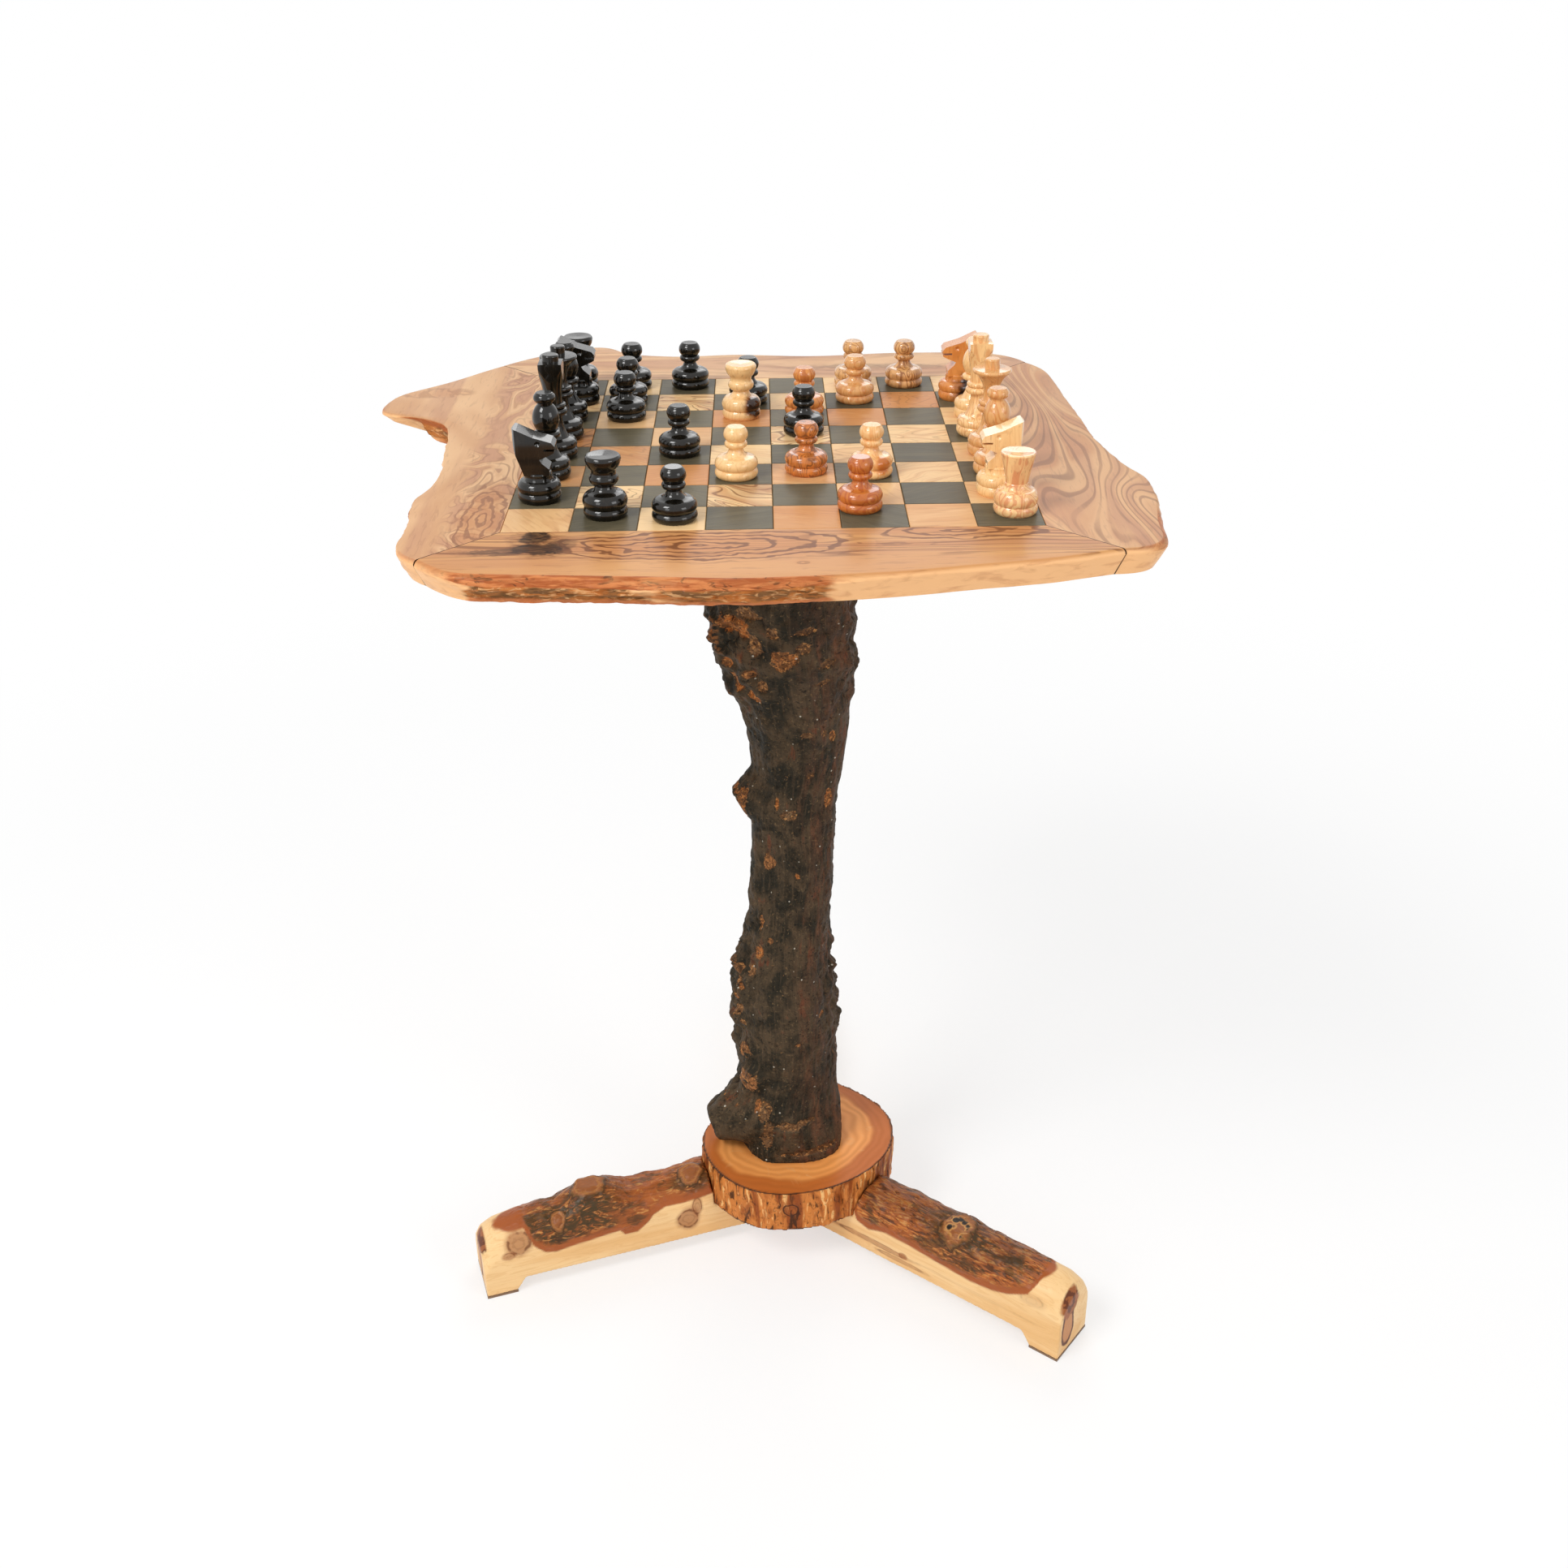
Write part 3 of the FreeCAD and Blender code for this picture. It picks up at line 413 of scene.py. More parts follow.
for leg_name, turn in LEG_TURNS.items():
    leg = even_copy(leg_name, leg_name + "_half_log", LEG_VOXEL, 2)
    points, facing = points_of(leg)
    way = np.array((math.cos(math.radians(turn)), math.sin(math.radians(turn)), 0.0))
    side_way = np.array((-way[1], way[0], 0.0))
    along = (points - slice_middle) @ way
    across = (points - slice_middle) @ side_way
    height = points[:, 2]
    length = along.max()
    grain = np.stack((along, across, height), axis=1)
    shares, starts = zip(*BARK_STARTS[leg_name])
    waves = uneven(np.stack((along, np.sign(across) * 0.02, np.zeros_like(along)), axis=1), 30.0, 3, 2)
    border = np.interp(along / length, shares, starts) + waves * BORDER_WAVE
    places = np.linspace(along.min(), length, CREST_STEPS)
    crests = np.array([height[np.abs(along - place) < CREST_REACH].max() for place in places])
    crest = np.maximum(np.interp(along, places, crests), border + LEAST_BARK)
    above = height - border
    bark = smooth_step(above, -0.0006, 0.0010) * (along > LEG_FREE_FROM)
    climb = np.clip(above / (crest - border), 0, 1)
    half = LEG_HALF_WIDTH * (1 - climb ** BACK_ROUNDNESS) ** (1 / BACK_ROUNDNESS) + 0.0004
    drawn = np.sign(across) * np.minimum(np.abs(across), half)
    points += np.outer((drawn - across) * bark, side_way)
    knot = np.full(len(points), NO_KNOT)
    lift = np.zeros(len(points))
    for share, aside, radius, rise in BARK_KNOTS[leg_name]:
        reach = np.hypot(along - share * length, across - aside) / radius
        reach = reach + uneven(grain, 90.0, 2, 5) * 0.25
        knot = np.where(height > KNOTS_ABOVE, np.minimum(knot, reach), knot)
        lift += rise * smooth_step(reach, 1.5, 0.55) - KNOT_RING * np.exp(-((reach - 0.62) / 0.13) ** 2)
    stretched = grain * np.array((0.45, 1, 1))
    lumps = uneven(grain, 55.0, 2, 1) * LEG_LUMP + uneven(stretched, 150.0, 3, 3) * LEG_GRIT
    cracks = -LEG_CRACK * smooth_step(np.abs(uneven(stretched, 110.0, 2, 4)), 0.09, 0.0)
    relief = bark * smooth_step(above, 0.0, 0.007) * (lumps + cracks + lift * (height > KNOTS_ABOVE))
    inside = np.maximum(height + relief - np.max(crests) - 0.001, 0)
    points += facing * (relief - inside)[:, None]
    points += facing * ((1 - bark) * uneven(grain, 40.0, 2, 6) * SAWN_WAVE)[:, None]
    end = smooth_step(facing @ way, 0.55, 0.8) * (along > length - END_DEPTH)
    keep_points(leg, points, {"grain": grain, "bark": bark, "above": above, "end": end, "knot": knot})
    finish = leg_finish(leg_name, length, SIDE_KNOTS[leg_name], *BARK_LOOKS[leg_name])
    set_piece(leg, "table", [leg_name], finish)

# Foot pads
# Three thin pads of dark brown felt, cut to the size of the feet and glued under them.


def show_node(node, finish):
    """Carries a CAD piece over with its finish."""
    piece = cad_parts[node]
    piece.data.materials.clear()
    piece.data.materials.append(finish)
    return piece


finish, start = new_finish("brown_felt", {"Sheen Weight": 0.4})
place = start.place()
fibre = place.clouds(1400, 3, 2)
colour = fibre.step(0.3, 0.7).blend(tint(104, 76, 52), tint(146, 112, 80))
lay_on(finish, colour, fibre * 0.1 + 0.85, fibre, 0.0004)
show_node("foot_pads", finish)

# Slice
# A round slice sawn across a trunk, sanded and oiled on top, with its bark left standing round the rim.
# It carries the column and sits on the three legs.
SLICE_VOXEL = 0.0014
SLICE_RADIUS = 0.085
RIM_STEPS = 181
RIM_REACH = 0.04
RIM_RELIEF = 0.0022
RIM_FLAKES = 0.0006
SLICE_BUMP = 0.0018


def apart_from(angles, turn):
    """How far angles lie from a turn, the short way round, in radians."""
    return np.angle(np.exp(1j * (angles - turn)))


base_slice = even_copy("base_slice", "round_slice", SLICE_VOXEL, 1)
points, facing = points_of(base_slice)
flat = points - slice_middle
angle = np.arctan2(flat[:, 1], flat[:, 0])
reach = np.hypot(flat[:, 0], flat[:, 1])
turns = np.linspace(-math.pi, math.pi, RIM_STEPS)
edges = [reach[np.abs(apart_from(angle, turn)) < RIM_REACH].max() for turn in turns]
outline = np.interp(angle, turns, edges)
share = reach / outline
rim = smooth_step(share, 0.962, 0.985) * (np.abs(facing[:, 2]) < 0.85)
round_rim = np.stack((np.cos(angle) * SLICE_RADIUS, np.sin(angle) * SLICE_RADIUS, points[:, 2]), axis=1)
streaks = uneven(round_rim * np.array((1, 1, 0.30)), 70.0, 3, 1)
flakes = uneven(round_rim * np.array((1, 1, 0.4)), 320.0, 2, 2)
relief = RIM_RELIEF * (streaks - 0.35) + RIM_FLAKES * flakes
points += facing * (rim * relief)[:, None]
bark_line = smooth_step(share, 0.966, 0.978)
keep_points(base_slice, points, {"share": share, "rim": rim, "bark_line": bark_line, "round_rim": round_rim})

oil = {"Coat Weight": 0.05, "Coat Roughness": 0.25, "Specular IOR Level": 0.12}
finish, start = new_finish("oiled_slice", oil)
place = start.place()
share = mark(start, "share")
rim = mark(start, "rim")
bark_line = mark(start, "bark_line")
round_rim = mark(start, "round_rim", "Vector")
wander = (place.clouds(17, 2) - 0.5) * 0.42
sideways = place.part(0)
ringed = share + wander + sideways * 0.8 - 0.03
years = (ringed * 62.0 + place.clouds(30, 2) * 5.0).sine()
broad = (ringed * 13.0 + place.clouds(12, 2) * 6.0).sine()
smears = place.clouds(52, 4, 2)
dots = place.cells(160).step(0.075, 0.03)
wood = coated(tint(242, 162, 88), [
    (ringed.step(0.73, 0.83), tint(190, 104, 46)),
    (broad * 0.40, tint(196, 112, 50)),
    (years * 0.30, tint(168, 92, 40)),
    (smears.step(0.58, 0.72) * ringed.step(0.9, 0.7) * 0.4, tint(230, 172, 112)),
    (dots * 0.6, tint(96, 52, 24)),
    (bark_line, tint(74, 50, 36)),
])
tall = round_rim.stretched(1, 1, 0.26)
streak = tall.clouds(72, 4, 0.6)
streak_fine = tall.clouds(190, 4, 0.5)
eye = round_rim.ring((-0.0086, -0.0846, 0.066), (0.0075, 0.0075, 0.0070), 0.35, 120)
skin = coated(tint(146, 74, 30), [
    (streak.step(0.40, 0.56), tint(206, 126, 60)),
    (streak_fine.step(0.56, 0.64) * streak.step(0.42, 0.52), tint(238, 184, 118)),
    (streak_fine.step(0.45, 0.37) * 0.9, tint(58, 32, 15)),
    (place.clouds(300, 4).step(0.56, 0.68) * 0.5, tint(96, 54, 24)),
    (streak.step(0.64, 0.70) * 0.7, tint(120, 58, 26)),
    (eye.step(1.3, 1.0) * eye.step(0.45, 0.7) * (eye * 16.0).sine(), tint(70, 36, 16)),
])
colour = rim.blend(wood, skin)
rough = rim * 0.22 + years * 0.08 + 0.28
relief = rim * (streak_fine + streak) + (1.0 - rim) * years * 0.05
lay_on(finish, colour, rough, relief, SLICE_BUMP)
set_piece(base_slice, "table", ["base_slice"], finish)

# Trunk column
# A length of trunk with its bark on: a burl at the top, a waist, a broken branch, a second burl and a root.
# Chips and scuffs show the orange wood under the dark bark. It stands on the slice and is sealed.
TRUNK_VOXEL = 0.0014
TRUNK_RADIUS = 0.040
WAIST_RADIUS = 0.034
RELAX_ROUNDS = 14
TRUNK_LEVELS = 70
LEVEL_REACH = 0.006
LEVELS_A_MEAN = 7
CRACK_DEPTH = 0.0022
CHIP_DEPTH = 0.0009
# Heights of the relief on the bark, in metres, and the height from which it is worn through
LUMP, BURR, KNOB, RIDGE, PIT, WORN = 0.0016, 0.0050, 0.0085, 0.0007, 0.0010, 0.0045
TRUNK_BUMP = 0.0022
SPECKS_A_METRE = 118
trunk = even_copy("trunk_column", "bark_trunk", TRUNK_VOXEL, 2)
points = points_of(trunk)[0]
trunk_low, trunk_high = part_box("trunk_column")
near_ends = np.minimum(points[:, 2] - trunk_low.z, trunk_high.z - points[:, 2])
points = relaxed(trunk, points, RELAX_ROUNDS, smooth_step(near_ends, 0.002, 0.016))
keep_points(trunk, points, {})
points, facing = points_of(trunk)
levels = np.linspace(trunk_low.z, trunk_high.z, TRUNK_LEVELS)
middles = []
for level in levels:
    ring = points[np.abs(points[:, 2] - level) < LEVEL_REACH]
    middles.append((ring[:, :2].max(axis=0) + ring[:, :2].min(axis=0)) / 2)
middles = np.pad(middles, ((LEVELS_A_MEAN // 2, LEVELS_A_MEAN // 2), (0, 0)), "edge")
evenly = np.ones(LEVELS_A_MEAN) / LEVELS_A_MEAN
runs = [np.convolve(middles[:, axis], evenly, "valid") for axis in (0, 1)]
middle_x, middle_y = [np.interp(points[:, 2], levels, run) for run in runs]
angle = np.arctan2(points[:, 1] - middle_y, points[:, 0] - middle_x)
height = points[:, 2] - trunk_low.z
around = np.stack((np.cos(angle) * TRUNK_RADIUS, np.sin(angle) * TRUNK_RADIUS, height), axis=1)
skin = np.abs(facing[:, 2]) < 0.97
# Rough stretches: height, angle in degrees, half height, half angle and strength
BURLS = [(0.485, 205, 0.070, 50, 1.0), (0.470, 345, 0.050, 35, 0.6), (0.165, 190, 0.075, 45, 0.9),
         (0.150, 5, 0.060, 35, 0.8), (0.300, 40, 0.060, 50, 0.6), (0.560, 70, 0.070, 60, 0.8),
         (0.060, 130, 0.05, 50, 0.8)]
# Chips in the bark: height, angle in degrees, half height, half width, and tone: 0 orange, 1 grey-tan, 2 dim
CHIPS = [
    (0.496, 231, 0.0085, 0.0100, 0.05), (0.487, 204, 0.0050, 0.0040, 0.2), (0.484, 246, 0.0113, 0.0036, 0.9),
    (0.508, 242, 0.0050, 0.0078, 0.9), (0.496, 261, 0.0056, 0.0036, 0.9), (0.495, 286, 0.0030, 0.0066, 1.8),
    (0.474, 269, 0.0085, 0.0080, 0.3), (0.482, 285, 0.0048, 0.0051, 1.6), (0.465, 307, 0.0038, 0.0060, 1.7),
    (0.450, 302, 0.0025, 0.0065, 1.7), (0.449, 216, 0.0040, 0.0050, 0.4), (0.458, 237, 0.0035, 0.0035, 0.5),
    (0.439, 233, 0.0032, 0.0028, 0.0), (0.443, 219, 0.0032, 0.0033, 0.0), (0.463, 213, 0.0052, 0.0032, 0.1),
    (0.450, 247, 0.0050, 0.0028, 0.8), (0.437, 240, 0.0026, 0.0022, 0.1), (0.405, 282, 0.0034, 0.0050, 1.4),
    (0.400, 315, 0.0060, 0.0028, 0.15), (0.404, 303, 0.0026, 0.0027, 1.7), (0.369, 290, 0.0026, 0.0035, 1.7),
    (0.345, 319, 0.0104, 0.0030, 0.2), (0.344, 251, 0.0072, 0.0020, 0.15), (0.335, 269, 0.0048, 0.0078, 1.0),
    (0.336, 204, 0.0150, 0.0036, 0.3), (0.289, 234, 0.0080, 0.0056, 0.55), (0.280, 277, 0.0036, 0.0028, 0.1),
    (0.233, 227, 0.0095, 0.0020, 0.4), (0.206, 230, 0.0067, 0.0040, 0.2), (0.219, 245, 0.0029, 0.0030, 0.6),
    (0.186, 222, 0.0062, 0.0036, 0.8), (0.176, 197, 0.0098, 0.0040, 0.7), (0.168, 208, 0.0030, 0.0030, 0.1),
    (0.158, 205, 0.0022, 0.0028, 0.1), (0.142, 201, 0.0036, 0.0050, 0.8), (0.135, 213, 0.0028, 0.0030, 0.8),
    (0.147, 314, 0.0027, 0.0036, 0.1), (0.123, 283, 0.0022, 0.0022, 0.5), (0.055, 238, 0.0071, 0.0030, 0.3),
    (0.052, 249, 0.0112, 0.0056, 1.45), (0.027, 257, 0.0150, 0.0046, 1.6), (0.040, 289, 0.0042, 0.0135, 0.9),
    (0.010, 303, 0.0034, 0.0170, 1.8),
    (0.300, 100, 0.010, 0.006, 0.4), (0.420, 60, 0.007, 0.008, 0.2), (0.470, 130, 0.012, 0.005, 0.7),
    (0.230, 40, 0.010, 0.007, 0.3), (0.120, 80, 0.008, 0.010, 0.6), (0.500, 30, 0.008, 0.008, 0.1),
]
CHIP_SPREAD = 0.95
# Branches broken off: height, angle in degrees, how far out the break lies, and its half height
BREAKS = [(0.335, 184, 0.0375, 0.020), (0.063, 206, 0.0440, 0.016)]
# Cut branches that stand out: height, angle in degrees, radius and lift
CUT_BRANCHES = [(0.082, 223, 0.0135, 0.0075), (0.109, 217, 0.0085, 0.0030)]
rough_bark = np.zeros(len(points))
for level, degrees, half_height, half_angle, strength in BURLS:
    apart = np.abs(apart_from(angle, math.radians(degrees))) / math.radians(half_angle)
    rough_bark += strength * np.exp(-(apart ** 2) - ((height - level) / half_height) ** 2)
rough_bark = np.clip(rough_bark, 0, 1)
torn = uneven(around, 120.0, 4, 4) * 1.5
chip = np.zeros(len(points))
tan = np.zeros(len(points))
for level, degrees, half_height, half_width, tone in CHIPS:
    apart = apart_from(angle, math.radians(degrees)) * WAIST_RADIUS / (half_width * CHIP_SPREAD)
    reach = np.hypot(apart, (height - level) / (half_height * CHIP_SPREAD)) + torn * 0.30
    cut = smooth_step(reach, 1.20, 0.75)
    tan = np.where(cut > chip, tone, tan)
    chip = np.maximum(chip, cut)
broken = np.zeros(len(points))
for level, degrees, reach_out, size in BREAKS:
    out = (points[:, 0] - middle_x) * math.cos(math.radians(degrees))
    out += (points[:, 1] - middle_y) * math.sin(math.radians(degrees))
    near = np.abs(height - level) < size
    broken = np.maximum(broken, smooth_step(out, reach_out - 0.004, reach_out) * near)
chip = np.maximum(chip, broken * smooth_step(torn, -0.35, 0.1) * 0.7)
burrs = uneven(around, 85.0, 3, 2) * BURR + uneven(around, 62.0, 2, 9) * KNOB
lumps = uneven(around, 38.0, 2, 1) * LUMP + burrs * rough_bark
for level, degrees, radius, lift in CUT_BRANCHES:
    apart = apart_from(angle, math.radians(degrees)) * TRUNK_RADIUS
    reach = np.hypot(apart, height - level) / radius + torn * 0.12
    lumps += lift * smooth_step(reach, 1.25, 0.70)
    cut = smooth_step(reach, 0.95, 0.65) * smooth_step(torn, -1.2, -0.4)
    tan = np.where(cut > chip, 0.55, tan)
    chip = np.maximum(chip, cut)
ridges = uneven(around * np.array((1, 1, 0.22)), 130.0, 3, 3) * RIDGE
pits = -PIT * smooth_step(uneven(around, 260.0, 2, 6), 0.33, 0.55)
cracks = smooth_step(np.abs(uneven(around * np.array((1, 1, 0.45)), 42.0, 3, 7)), 0.035, 0.0)
relief = lumps + ridges + pits - CRACK_DEPTH * cracks * (0.25 + rough_bark) - chip * CHIP_DEPTH
fade = smooth_step(height, 0.0, 0.004) * smooth_step(trunk_high.z - trunk_low.z - height, 0.0, 0.004)
points += facing * (relief * skin * fade)[:, None]
# Painted light: the trunk's right side is painted lighter and redder
painted_light_side = smooth_step(np.cos(angle + 0.35), 0.25, 0.95)
keep_points(trunk, points, {
    # Painted shade: the sunk cracks are also painted dark
    "around": around, "chip": chip, "tan": tan, "crack_shade": cracks * (0.3 + rough_bark),
    "worn": np.clip(lumps / WORN, 0, 1) * rough_bark, "painted_light_side": painted_light_side,
})
finish, start = new_finish("sealed_bark", {"Specular IOR Level": 0.10})
around = mark(start, "around", "Vector")
chip = mark(start, "chip")
tan = mark(start, "tan")
cloud = around.clouds(46, 4, 0.7)
streak = around.stretched(1, 1, 0.22).clouds(170, 4, 0.6)
fine = around.clouds(520, 4, 0.8)
# red carries the painted light on the trunk's right side
red = mark(start, "painted_light_side") * streak.step(0.36, 0.62)
fibre = around.stretched(1, 1, 0.10).clouds(420, 3, 0.3)
mottle = around.clouds(240, 4, 1.2)
bare = coated(tint(178, 104, 48), [
    (tan, tint(122, 94, 66)),
    (tan.step(1.1, 1.9), tint(94, 66, 44)),
    (mottle.step(0.42, 0.56) * 0.85, tint(92, 62, 38)),
    (fine.step(0.55, 0.67) * 0.6, tint(212, 150, 88)),
    (fine.step(0.47, 0.38) * 0.8, tint(54, 38, 25)),
])
ragged = (chip + (fine - 0.5) * 1.3 + (mottle - 0.5) * 1.8).step(0.38, 0.80)
specks = around.cells(SPECKS_A_METRE)
chosen = around.cells(SPECKS_A_METRE, "F1", "Color").part(0)
speck = specks.step(0.10, 0.06) * chosen.step(0.45, 0.47)
skin = coated(tint(40, 36, 27), [
    (cloud.step(0.38, 0.62), tint(78, 63, 46)),
    # Painted light: lighter, redder tints on the trunk's right side
    (red * 0.75, tint(84, 58, 42)),
    (red * streak.step(0.58, 0.68) * 0.5, tint(118, 76, 52)),
    (cloud.step(0.58, 0.68) * streak.step(0.5, 0.62) * 0.7, tint(106, 58, 38)),
    (fibre.step(0.54, 0.68) * 0.32, tint(98, 78, 58)),
    (fibre.step(0.46, 0.34) * 0.36, tint(32, 27, 20)),
    (fine.step(0.58, 0.70) * 0.65, tint(112, 92, 66)),
    (fine.step(0.42, 0.32) * 0.85, tint(22, 19, 14)),
    (mark(start, "worn").step(0.35, 0.85) * fine.step(0.42, 0.60) * 0.8, tint(134, 86, 48)),
    (ragged, bare),
    # Painted shade in the cracks
    (mark(start, "crack_shade").step(0.25, 0.8) * 0.9, tint(22, 17, 12)),
    (speck * 0.8, tint(196, 188, 172)),
])
rough = fine * 0.25 + 0.42
relief = fine * 0.8 + streak * 0.6 + fibre * 0.5 - chip * 0.5
lay_on(finish, skin, rough, relief, TRUNK_BUMP)
set_piece(trunk, "table", ["trunk_column"], finish)

# Steel fittings
# The flange, its screws, the stud, the bolt with its washer and the leg screws are zinc-plated steel.
# They draw the column up under the top and down on the slice, and hardly show.
finish, start = new_finish("zinc_plated_steel", {"Metallic": 1.0})
place = start.place()
tone = place.cells(420, "F1", "Color").part(0)
scuff = place.stretched(1, 1, 6).clouds(300, 3)
colour = (tone * 0.5 + scuff * 0.3).blend(tint(150, 152, 154), tint(206, 207, 206))
lay_on(finish, colour, scuff * 0.25 + 0.28, scuff, 0.0002)
for node in ("top_flange", "flange_screws", "column_stud", "column_bolt", "column_washer", "leg_screws"):
    show_node(node, finish)

# Panel and splines
# A plywood panel lies in the rails' grooves and carries the squares. Loose tongues of the same ply
# lie across the mitres, glued in.
finish, start = new_finish("birch_ply", {"Coat Weight": 0.05})
place = start.place()
plies = (place.part(2) * 3600.0).sine()
face = place.stretched(8, 70, 70).clouds(1, 4, 1)
colour = face.step(0.35, 0.65).blend(tint(226, 196, 152), tint(206, 170, 122))
colour = (plies.step(0.4, 0.6) * 0.35).blend(colour, tint(168, 126, 82))
lay_on(finish, colour, face * 0.2 + 0.5, face, 0.0004)
for node in ("backing_panel", "mitre_splines"):
    show_node(node, finish)

# Squares
# Thirty-two light squares of olive wood and thirty-two of stained wood, glued to the panel side by side
# with their top edges just broken, then lacquered satin.
SQUARES_A_SIDE = 8
EDGE_BREAK = 0.0004
JOINT = 0.0003
square = (board_high.x - board_low.x + JOINT) / SQUARES_A_SIDE
square_foot, square_top = board_low.z, board_high.z
draw = random.Random(64)


def from_faces(name, corners, faces):
    """A new piece from its corners and its faces."""
    mesh = bpy.data.meshes.new(name)
    mesh.from_pydata(corners, [], faces)
    return put_in_scene(name, mesh)


def tiles(name, parity):
    """Every square of one colour, each with its own grain and tone."""
    corners, faces, tones, grains = [], [], [], []
    half = (square - JOINT) / 2
    rings = ((half, square_foot), (half, square_top - EDGE_BREAK), (half - EDGE_BREAK, square_top))
    for column in range(SQUARES_A_SIDE):
        for row in range(SQUARES_A_SIDE):
            if (column + row) % 2 != parity:
                continue
            middle = Vector((
                board_middle.x + (column + 0.5 - SQUARES_A_SIDE / 2) * square,
                board_middle.y + (row + 0.5 - SQUARES_A_SIDE / 2) * square,
            ))
            tone = draw.random()
            origin = Vector((draw.uniform(-1, 1), draw.uniform(-1, 1), draw.uniform(-1, 1)))
            lean = draw.gauss(0.0, 0.35)
            first = len(corners)
            for reach, level in rings:
                for x_side, y_side in ((-1, -1), (1, -1), (1, 1), (-1, 1)):
                    spot = Vector((x_side * reach, y_side * reach, level - square_top))
                    corners.append((middle.x + spot.x, middle.y + spot.y, level))
                    tones.append(tone)
                    grains.append(origin + Matrix.Rotation(lean, 3, "Z") @ spot)
            faces.append((first + 3, first + 2, first + 1, first))
            faces.append((first + 8, first + 9, first + 10, first + 11))
            for ring in (0, 4):
                for side in range(4):
                    here, there = first + ring + side, first + ring + (side + 1) % 4
                    faces.append((here, there, there + 4, here + 4))
    inlay = from_faces(name, corners, faces)
    write_marks(inlay.data, {"tone": np.array(tones), "grain": np.array([tuple(g) for g in grains])})
    inlay.data.update()
    return inlay


SATIN = {"Coat Weight": 0.04, "Coat Roughness": 0.15, "Specular IOR Level": 0.07}
finish, start = new_finish("light_olive_lacquered", SATIN)
grain = mark(start, "grain", "Vector")
tone = mark(start, "tone")
busy = tone.maths("FRACT", tone * 7.3)
drift = grain.stretched(0.45, 1, 1).clouds(24, 2, 0.8, 0.45)
across = grain.part(1)
flow = across * 520.0 + drift * 120.0
hair = grain.stretched(0.10, 1, 1).clouds(480, 2, 0.4)
wood = coated(tint(240, 202, 148), [
    ((tone * 1.2 + drift * 0.6 - 0.55).step(0.0, 0.85), tint(204, 140, 84)),
    ((flow * 0.37).sine().step(0.45, 0.95) * busy * 0.50, tint(198, 134, 86)),
    (flow.sine().step(0.84, 0.98) * busy.step(0.45, 0.95) * 0.75, tint(126, 78, 44)),
    (busy.step(0.80, 0.95) * drift.step(0.52, 0.60) * 0.5, tint(138, 82, 46)),
    (hair.step(0.56, 0.70) * 0.20, tint(240, 204, 156)),
    (hair.step(0.44, 0.34) * 0.22, tint(160, 104, 62)),
])
lay_on(finish, wood, hair * 0.12 + 0.30, hair, 0.0002)
set_piece(tiles("light_tiles", 0), "table", ["light_squares"], finish)

finish, start = new_finish("dark_stained_lacquered", SATIN)
grain = mark(start, "grain", "Vector")
tone = mark(start, "tone")
long_grain = grain.stretched(0.14, 1, 1)
figure = long_grain.clouds(60, 4, 1)
hair = long_grain.clouds(430, 2, 0.4)
wood = coated(tint(86, 79, 61), [
    ((figure + tone * 0.35 - 0.15).step(0.25, 0.75), tint(106, 97, 75)),
    (hair.step(0.55, 0.72) * 0.25, tint(124, 110, 84)),
    (hair.step(0.44, 0.32) * 0.30, tint(62, 56, 44)),
])
lay_on(finish, wood, hair * 0.12 + 0.32, hair, 0.0002)
set_piece(tiles("dark_tiles", 1), "table", ["dark_squares"], finish)

# Rails
# Four boards of olive wood with one live edge each, mitred at the corners and glued round the panel.
# Their tops are sanded flat and lacquered, and the live edges keep scraps of bark.
RAIL_STATIONS = 430
MITRE_GAP = 0.00015
EASES = {"front_rail": 0.0035, "right_rail": 0.0030, "back_rail": 0.0020, "left_rail": 0.0022}
TOP_STEPS = 8
FLAT_SHARE = 0.94
EDGE_TURNS = 6
EDGE_ROWS = 14
UNDERCUT = 0.007
RAY_START = 0.3
GRAIN_STEP = 1.7
TOP_BREAK = 0.0003
RAIL_BUMP = 0.0018
# Depths of a live edge's relief in metres: rough bark, how far bark sinks, and broad lumps
EDGE_ROUGH, EDGE_SINK, EDGE_LUMP = 0.0026, 0.0012, 0.0007
# The horn is thin at its tip: along the left rail's edge as a share, how far its foot rises there
HORN_RISES = [(0.18, 0.0), (0.225, 0.009), (0.288, 0.0105), (0.292, 0.0150), (0.303, 0.0150),
              (0.307, 0.003), (0.314, 0.0)]
rail_top = square_top
rail_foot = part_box("front_rail")[0].z
# Along each live edge as a share from its start, how much bark is left on it
BARK_LEFT = {
    "front_rail": [(0.0, 0.0), (0.06, 0.1), (0.10, 1.0), (0.56, 1.0), (0.62, 0.25), (0.68, 0.0), (1.0, 0.0)],
    "right_rail": [(0.0, 0.0), (0.10, 0.0), (0.18, 0.5), (0.45, 0.7), (0.8, 0.4), (1.0, 0.1)],
    "back_rail": [(0.0, 0.1), (0.2, 0.7), (0.5, 0.3), (0.7, 0.9), (0.9, 0.6), (1.0, 0.1)],
    "left_rail": [(0.0, 0.2), (0.12, 0.4), (0.24, 0.25), (0.29, 0.3), (0.306, 1.0),
                  (0.42, 1.0), (0.46, 0.7), (0.6, 0.6), (0.9, 0.7), (1.0, 0.1)],
}
# Along each live edge in the same way, how far its top edge is planed off on the slant
PLANED_WIDTH = 0.0035
PLANED = {
    "front_rail": [(0.0, 0.3), (0.06, 0.3), (0.10, 1.0), (0.50, 1.0), (0.60, 0.3), (0.68, 0.0), (1.0, 0.0)],
    "right_rail": [(0.0, 0.0), (0.05, 0.45), (0.13, 0.5), (0.20, 0.1), (1.0, 0.0)],
    "back_rail": [(0.0, 0.0), (1.0, 0.0)],
    "left_rail": [(0.0, 0.0), (0.24, 0.0), (0.27, 0.4), (0.30, 0.0), (0.93, 0.0), (0.96, 0.3), (1.0, 0.3)],
}


